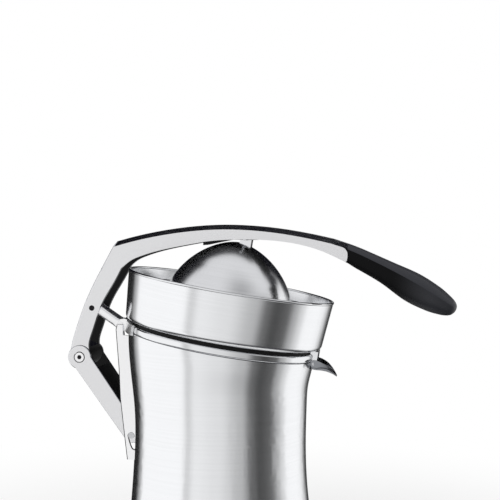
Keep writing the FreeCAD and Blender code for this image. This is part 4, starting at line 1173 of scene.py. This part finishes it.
@dataclass
class Grip:
    """The black grip, a bar of bevelled section whose top is painted charcoal as a highlight, which swells
    and tapers.

    Attributes:
        rings: Centre X and Z, half depth, half width and lean of each section, in millimetres and degrees.
        arm_outline: Right half of the section at the arm, top to bottom, as shares of half width and depth.
        tip_outline: The same at the tip.
        crease_from: Share of the grip's sections at which the side's crease starts to fade.
        crease_to: The share at which it is gone.
        top_rows: Number of outline points that the top's painted highlight covers.
        around: Number of points round the section.
        between: Number of steps between two sections.
        mouth: Corner of the arm's end, and the steps from it along the arm and along the end to where the
            grip's rounded mouth starts, each as X and Z.
        mouth_lap: How far out the mouth's corners reach, outside and inside the arm's face.
        mouth_steps: Number of steps round a corner of the mouth.
        hard_angle: Angle past which an edge stays hard.
    """

    rings: tuple[tuple[float, float, float, float, float], ...] = (
        (100.9, 251.7, 7.5, 15.4, -2.0),
        (114.0, 245.4, 8.1, 14.8, -26.0),
        (131.0, 236.7, 9.3, 14.8, -28.0),
        (150.0, 225.7, 11.7, 15.0, -30.0),
        (165.5, 217.0, 10.7, 13.6, -32.0),
        (175.0, 211.7, 8.4, 10.8, -34.0),
        (179.6, 209.2, 6.4, 8.4, -35.0),
        (182.0, 207.8, 4.2, 5.6, -36.0),
        (183.0, 207.2, 1.6, 2.2, -36.0),
    )
    arm_outline: tuple[Pair, ...] = (
        (0.0, 1.0), (0.50, 0.99), (0.70, 0.95), (0.80, 0.86), (0.96, 0.50), (0.99, 0.34), (1.0, 0.06),
        (0.99, -0.36), (0.94, -0.70), (0.82, -0.90), (0.55, -0.98), (0.0, -1.0),
    )
    tip_outline: tuple[Pair, ...] = (
        (0.0, 1.0), (0.30, 0.96), (0.53, 0.86), (0.72, 0.70), (0.90, 0.42), (0.97, 0.20), (1.0, -0.06),
        (0.97, -0.34), (0.88, -0.62), (0.71, -0.84), (0.44, -0.97), (0.0, -1.0),
    )
    crease_from: float = 0.12
    crease_to: float = 0.56
    top_rows: float = 4.4
    around: int = 96
    between: int = 8
    mouth: tuple[tuple[Pair, Pair, Pair], ...] = (
        ((101.25, 255.3), (-4.1, 1.3), (0.0, -4.2)),
        ((101.25, 244.3), (-1.9, 0.9), (0.0, 6.0)),
    )
    mouth_lap: Pair = (16.1, 15.5)
    mouth_steps: int = 8
    hard_angle: float = 50.0

    def _shares(self, along: float) -> list[tuple[float, ...]]:
        """Points round the section at a share of the grip's length, from its top clockwise."""
        round_off = min(max((along - self.crease_from) / (self.crease_to - self.crease_from), 0.0), 1.0)
        half = tuple(tuple(a + (b - a) * round_off for a, b in zip(near, far))
                     for near, far in zip(self.arm_outline, self.tip_outline))
        whole = half + tuple((-side, rise) for side, rise in reversed(half[:-1]))
        return [blended(whole, k / self.around) for k in range(self.around)]

    def _is_top(self, spot: int) -> bool:
        """Whether a step round the section lies on the top with the painted highlight."""
        rows = 2.0 * (len(self.arm_outline) - 1)
        row = (spot + 0.5) * rows / self.around
        return min(row, rows - row) < self.top_rows

    def _add_mouth(self, work: Work) -> None:
        """Round the corners of the grip's mouth, where it laps over the arm's end."""
        for corner, back, along in self.mouth:
            outline = [corner]
            for k in range(self.mouth_steps + 1):
                turn = math.pi / 2.0 * k / self.mouth_steps
                outline.append(tuple(p + a * (1.0 - math.sin(turn)) + b * (1.0 - math.cos(turn))
                                     for p, a, b in zip(corner, back, along)))
            for side in (-1.0, 1.0):
                near, far = ([work.verts.new(Vector((x, side * lap, z)) * MM) for x, z in outline]
                             for lap in self.mouth_lap)
                work.faces.new(near)
                work.faces.new(far)
                bridged(work, (near, far))

    def build(self) -> None:
        """Build the grip and let it stand for its CAD node."""
        work = bmesh.new()
        total = (len(self.rings) - 1) * self.between
        loops = []
        for k in range(total + 1):
            x, z, depth, width, lean = blended(self.rings, k / total)
            angle = math.radians(lean)
            up = Vector((-math.sin(angle), 0.0, math.cos(angle)))
            loops.append([work.verts.new((Vector((x, side * width, z)) + up * rise * depth) * MM)
                          for side, rise in self._shares(k / total)])
        for k, face in enumerate(bridged(work, loops)):
            face.material_index = 1 if self._is_top(k % self.around) else 0
        for loop in (loops[0], loops[-1]):
            work.faces.new(loop)
        self._add_mouth(work)
        bmesh.ops.recalc_face_normals(work, faces=work.faces)
        # The top faces take the paler charcoal finish as a painted highlight, and the black core carries a
        # painted sheen towards the tip.
        settle(work, "grip_with_painted_top_highlight", "grip", (GRIP_CORE_PAINTED_SHEEN, GRIP_TOP_PAINTED_HIGHLIGHT), self.hard_angle)


@dataclass
class Spout:
    """The pouring spout, a pressed channel that narrows to a drip lip.

    Attributes:
        stations: Place along the head, height of the edge and of the floor, half width and squareness.
        wall: Thickness of the sheet.
        least_depth: Least depth of the channel's inner face.
        across: Number of steps across the channel.
        between: Number of steps between two stations.
        hard_angle: Angle past which an edge stays hard.
    """

    stations: tuple[tuple[float, float, float, float, float], ...] = (
        (72.6, 6.6, 2.2, 12.4, 7.0),
        (74.4, 7.6, 0.2, 12.4, 7.0),
        (77.6, 7.7, 0.0, 12.4, 7.0),
        (81.0, 7.0, 0.1, 12.2, 4.6),
        (85.2, 5.3, -0.2, 11.2, 3.2),
        (88.9, 2.7, -1.0, 9.2, 2.6),
        (91.8, 0.0, -1.9, 6.4, 2.3),
        (94.0, -2.3, -3.1, 3.2, 2.0),
    )
    wall: float = 1.0
    least_depth: float = 0.15
    across: int = 40
    between: int = 6
    hard_angle: float = 40.0

    def _section(self, row: tuple[float, ...], inset: float) -> list[Vector]:
        """Points of one section from edge to edge, in the head's frame."""
        u, top, floor, half, squareness = row
        depth = max(top - floor - inset, self.least_depth)
        shares = [squared(math.pi * k / self.across, squareness) for k in range(self.across + 1)]
        return [Vector((u, -side * (half - inset), top - depth * drop)) for side, drop in shares]

    def build(self) -> None:
        """Build the channel with its two faces and let it stand for the spout."""
        work = bmesh.new()
        total = (len(self.stations) - 1) * self.between
        rings = []
        for k in range(total + 1):
            row = blended(self.stations, k / total)
            points = self._section(row, 0.0) + self._section(row, self.wall)[::-1]
            rings.append([work.verts.new(on_head(point * MM)) for point in points])
        bridged(work, rings)
        for ring in (rings[0], rings[-1]):
            for k in range(self.across):
                work.faces.new((ring[k], ring[k + 1], ring[-2 - k], ring[-1 - k]))
        bmesh.ops.recalc_face_normals(work, faces=work.faces)
        # The spout's darker grey is painted shade.
        settle(work, "spout_pressed", "spout", (SPOUT_STEEL_PAINTED_SHADE,), self.hard_angle)


@dataclass
class Inside:
    """Pieces that keep their CAD mesh and only take a finish."""

    def dress(self) -> None:
        """Give every CAD node its finish."""
        for node, finish in NODE_FINISH.items():
            mesh = NODES[node].data
            mesh.materials.clear()
            mesh.materials.append(finish.material())


def stood(name: str, work: Work, dress: bpy.types.Material) -> bpy.types.Object:
    """Stand a piece of the studio in the scene.

    Args:
        name: Name of the piece.
        work: Its geometry.
        dress: Its material.

    Returns:
        The new object.
    """
    mesh = keep(work, bpy.data.meshes.new(name))
    mesh.materials.append(dress)
    return new_object(name, mesh)


def hang(name: str, data: bpy.types.ID, spot: Triple, aim: Triple) -> bpy.types.Object:
    """Place a lamp or a camera so that it faces a point.

    Args:
        name: Name of the object.
        data: The lamp or camera.
        spot: Its place in metres.
        aim: The point that it faces.

    Returns:
        The new object.
    """
    piece = new_object(name, data)
    piece.location = spot
    piece.rotation_euler = (Vector(aim) - Vector(spot)).to_track_quat("-Z", "Y").to_euler()
    return piece


@dataclass
class Studio:
    """White studio with dark cards, a pale floor, soft lamps and the camera.

    Attributes:
        eye: The camera's place in metres.
        aim: The point that it looks at.
        lens_mm: Focal length.
        sensor_mm: Width of the frame that it is for.
        clip: Nearest and farthest distance that the camera shows.
        bands: Azimuth in degrees and brightness of the tent's cloth and cards around the object.
        roof: Heights between which the tent's roof begins, as parts of its radius.
        roof_colour: Light of the roof.
        table: Heights between which the dark table under the object begins.
        table_colour: Light of the table.
        cards: Dark cards above the bands. For each, where it starts and is full along X, along Y and up, as
            parts of the tent's radius, and how much of the light it takes.
        card_colour: Light of a card.
        tent_reach: Radius of the tent in metres.
        tent_steps: Number of steps round the tent, and from its foot to its top.
        ambient: Level of the even light.
        paper: Colour of the floor.
        floor_reach: Radius at which the floor has faded to white, in metres.
        floor_steps: Number of steps round the floor.
        floor_fade: Radius at which it starts to fade, and how white it is there.
        floor_gloss: Radii between which the floor leaves the gloss of the object.
        lamp_aim: The point that the lamps face.
        lamps: Name, place, width and height, and power in watts of each lamp.
    """

    eye: Triple = (0.1391, -0.8213, 0.2662)
    aim: Triple = (0.0237, 0.0, 0.2540)
    lens_mm: float = 75.6
    sensor_mm: float = 36.0
    clip: Pair = (0.01, 50.0)
    bands: tuple[Pair, ...] = (
        (-180.0, 1.12), (-132.0, 1.12), (-124.0, 0.72), (-114.0, 0.98), (-84.0, 0.88), (-54.0, 0.56),
        (-40.0, 0.16), (-29.0, 0.08), (-13.0, 0.13), (-2.0, 0.48), (8.0, 0.80), (17.0, 1.12), (36.0, 1.12),
        (48.0, 1.05), (58.0, 0.72), (66.0, 0.26), (74.0, 0.04), (84.0, 0.08), (97.0, 0.80), (110.0, 0.08),
        (118.0, 0.02), (142.0, 0.02), (152.0, 0.50), (162.0, 1.12), (180.0, 1.12),
    )
    roof: Pair = (0.20, 0.55)
    roof_colour: Colour = (0.86, 0.86, 0.87, 1.0)
    table: Pair = (-0.42, -0.66)
    table_colour: Colour = (0.06, 0.06, 0.065, 1.0)
    cards: tuple[tuple[Pair, Pair, Pair, float], ...] = (
        ((0.62, 0.50), (0.28, 0.46), (0.06, 0.24), 1.0),
        ((0.50, 0.36), (0.23, 0.31), (0.58, 0.70), 1.0),
        ((-0.36, -0.52), (0.02, 0.18), (0.20, 0.36), 1.0),
        ((-0.15, 0.65), (0.00, -0.80), (0.25, 0.75), 0.70),
        ((0.52, 0.60), (0.26, 0.35), (0.38, 0.45), 1.0),
    )
    card_colour: Colour = (0.007, 0.007, 0.010, 1.0)
    tent_reach: float = 3.0
    tent_steps: tuple[int, int] = (64, 32)
    ambient: float = 0.78
    paper: str = "#F2F2F2"
    floor_reach: float = 0.55
    floor_steps: int = 96
    floor_fade: Pair = (0.12, 0.45)
    floor_gloss: Pair = (0.11, 0.20)
    lamp_aim: Triple = (0.0, 0.0, 0.18)
    lamps: tuple[tuple[str, Triple, Pair, float], ...] = (
        ("soft_key", (-0.9, -1.1, 0.9), (0.8, 0.9), 7.0),
        ("soft_fill", (1.3, -0.5, 0.7), (0.5, 0.8), 3.0),
    )

    def camera(self) -> None:
        """Create the camera at the viewing angle."""
        data = bpy.data.cameras.new("eye")
        data.lens = self.lens_mm
        data.sensor_width = self.sensor_mm
        data.clip_start, data.clip_end = self.clip
        bpy.context.scene.camera = hang("eye", data, self.eye, self.aim)

    def world(self) -> None:
        """White surroundings for the eye and in gloss, and an even light on everything else."""
        world = bpy.data.worlds.new("studio")
        bpy.context.scene.world = world
        world.use_nodes = True
        tree = world.node_tree
        tree.nodes.clear()
        path = add(tree, "ShaderNodeLightPath").outputs
        first = maths(tree, "MAXIMUM", path["Is Camera Ray"], path["Is Glossy Ray"])
        seen = maths(tree, "MAXIMUM", first, path["Is Transmission Ray"])
        level = ranged(tree, seen, 0.0, 1.0, self.ambient, 1.0, shape="LINEAR")
        sky = add(tree, "ShaderNodeBackground", {"Color": WHITE, "Strength": level})
        add(tree, "ShaderNodeOutputWorld", {"Surface": sky})

    def _ramp(self, tree: Tree, turn: Node) -> Node:
        """The brightness of the bands at an azimuth in radians."""
        ramp = add(tree, "ShaderNodeValToRGB", {"Fac": ranged(tree, turn, -math.pi, math.pi, shape="LINEAR")})
        ramp.color_ramp.interpolation = "EASE"
        stops = ramp.color_ramp.elements
        while len(stops) > 1:
            stops.remove(stops[-1])
        for k, (degrees, level) in enumerate(self.bands):
            spot = (degrees + 180.0) / 360.0
            stop = stops[0] if k == 0 else stops.new(spot)
            stop.position = spot
            stop.color = (level, level, level, 1.0)
        return ramp

    def tent(self) -> None:
        """A light tent with dark cards, which only gloss shows."""
        cloth = new_material("studio_cloth_and_cards")
        cloth.cycles.emission_sampling = "NONE"
        tree = cloth.node_tree
        rule = partial(maths, tree)
        place = add(tree, "ShaderNodeTexCoord").outputs["Object"]
        way = add(tree, "ShaderNodeVectorMath", {0: place}, operation="NORMALIZE")
        x, y, z = add(tree, "ShaderNodeSeparateXYZ", {0: way}).outputs
        bands = self._ramp(tree, rule("ARCTAN2", y, x))
        topped = mixed(tree, ranged(tree, z, *self.roof), bands, self.roof_colour)
        floored = mixed(tree, ranged(tree, z, *self.table), topped, self.table_colour)
        shaded: object = 0.0
        for across, along, up, share in self.cards:
            level = rule("MULTIPLY", ranged(tree, x, *across), ranged(tree, y, *along))
            card = rule("MULTIPLY", rule("MULTIPLY", level, ranged(tree, z, *up)), share)
            shaded = rule("MAXIMUM", shaded, card)
        carded = mixed(tree, shaded, floored, self.card_colour)
        glow = add(tree, "ShaderNodeEmission", {"Color": carded, "Strength": 1.0})
        add(tree, "ShaderNodeOutputMaterial", {"Surface": glow})
        work = bmesh.new()
        columns, rows = self.tent_steps
        bmesh.ops.create_uvsphere(work, u_segments=columns, v_segments=rows, radius=self.tent_reach)
        shade = stood("studio_tent", work, cloth)
        shade.visible_camera = False
        shade.visible_diffuse = False
        shade.visible_transmission = False
        shade.visible_shadow = False

    def floor(self) -> None:
        """A pale floor that keeps the object's shadow."""
        pale = new_material("studio_paper")
        tree = pale.node_tree
        paper = add(tree, "ShaderNodeBsdfDiffuse", {"Color": linear(self.paper)})
        white = add(tree, "ShaderNodeEmission", {"Color": WHITE, "Strength": 1.0})
        path = add(tree, "ShaderNodeLightPath").outputs
        clear = maths(tree, "MAXIMUM", path["Is Camera Ray"], path["Is Glossy Ray"])
        place = add(tree, "ShaderNodeTexCoord").outputs["Object"]
        far = add(tree, "ShaderNodeVectorMath", {0: place}, operation="LENGTH").outputs["Value"]
        start, level = self.floor_fade
        fade = ranged(tree, far, start, self.floor_reach, level, 1.0)
        both = add(tree, "ShaderNodeMixShader", {0: maths(tree, "MULTIPLY", clear, fade), 1: paper, 2: white})
        past = maths(tree, "MULTIPLY", path["Is Glossy Ray"], ranged(tree, far, *self.floor_gloss))
        open_air = add(tree, "ShaderNodeBsdfTransparent")
        ended = add(tree, "ShaderNodeMixShader", {0: past, 1: both, 2: open_air})
        add(tree, "ShaderNodeOutputMaterial", {"Surface": ended})
        work = bmesh.new()
        bmesh.ops.create_circle(work, cap_ends=True, segments=self.floor_steps, radius=self.floor_reach)
        ground = stood("studio_floor", work, pale)

    def light(self) -> None:
        """Hang the soft rectangular lamps, which gloss doesn't show."""
        for name, spot, size, power in self.lamps:
            data = bpy.data.lights.new(name, "AREA")
            data.shape = "RECTANGLE"
            data.size, data.size_y = size
            data.energy = power
            hang(name, data, spot, self.lamp_aim).visible_glossy = False

    def build(self) -> None:
        """Set up the whole studio."""
        bpy.context.scene.view_settings.view_transform = "Standard"
        self.world()
        self.tent()
        self.floor()
        self.light()
        self.camera()


def main() -> None:
    """Build every class in order."""
    logging.basicConfig(level=logging.INFO, format="%(message)s")
    Inside().dress()
    Body().build()
    Head().build()
    Bracket().build()
    Cone().build()
    Spring().build()
    LeverArm().build()
    Grip().build()
    Spout().build()
    Studio().build()


if __name__ == "__main__":
    main()
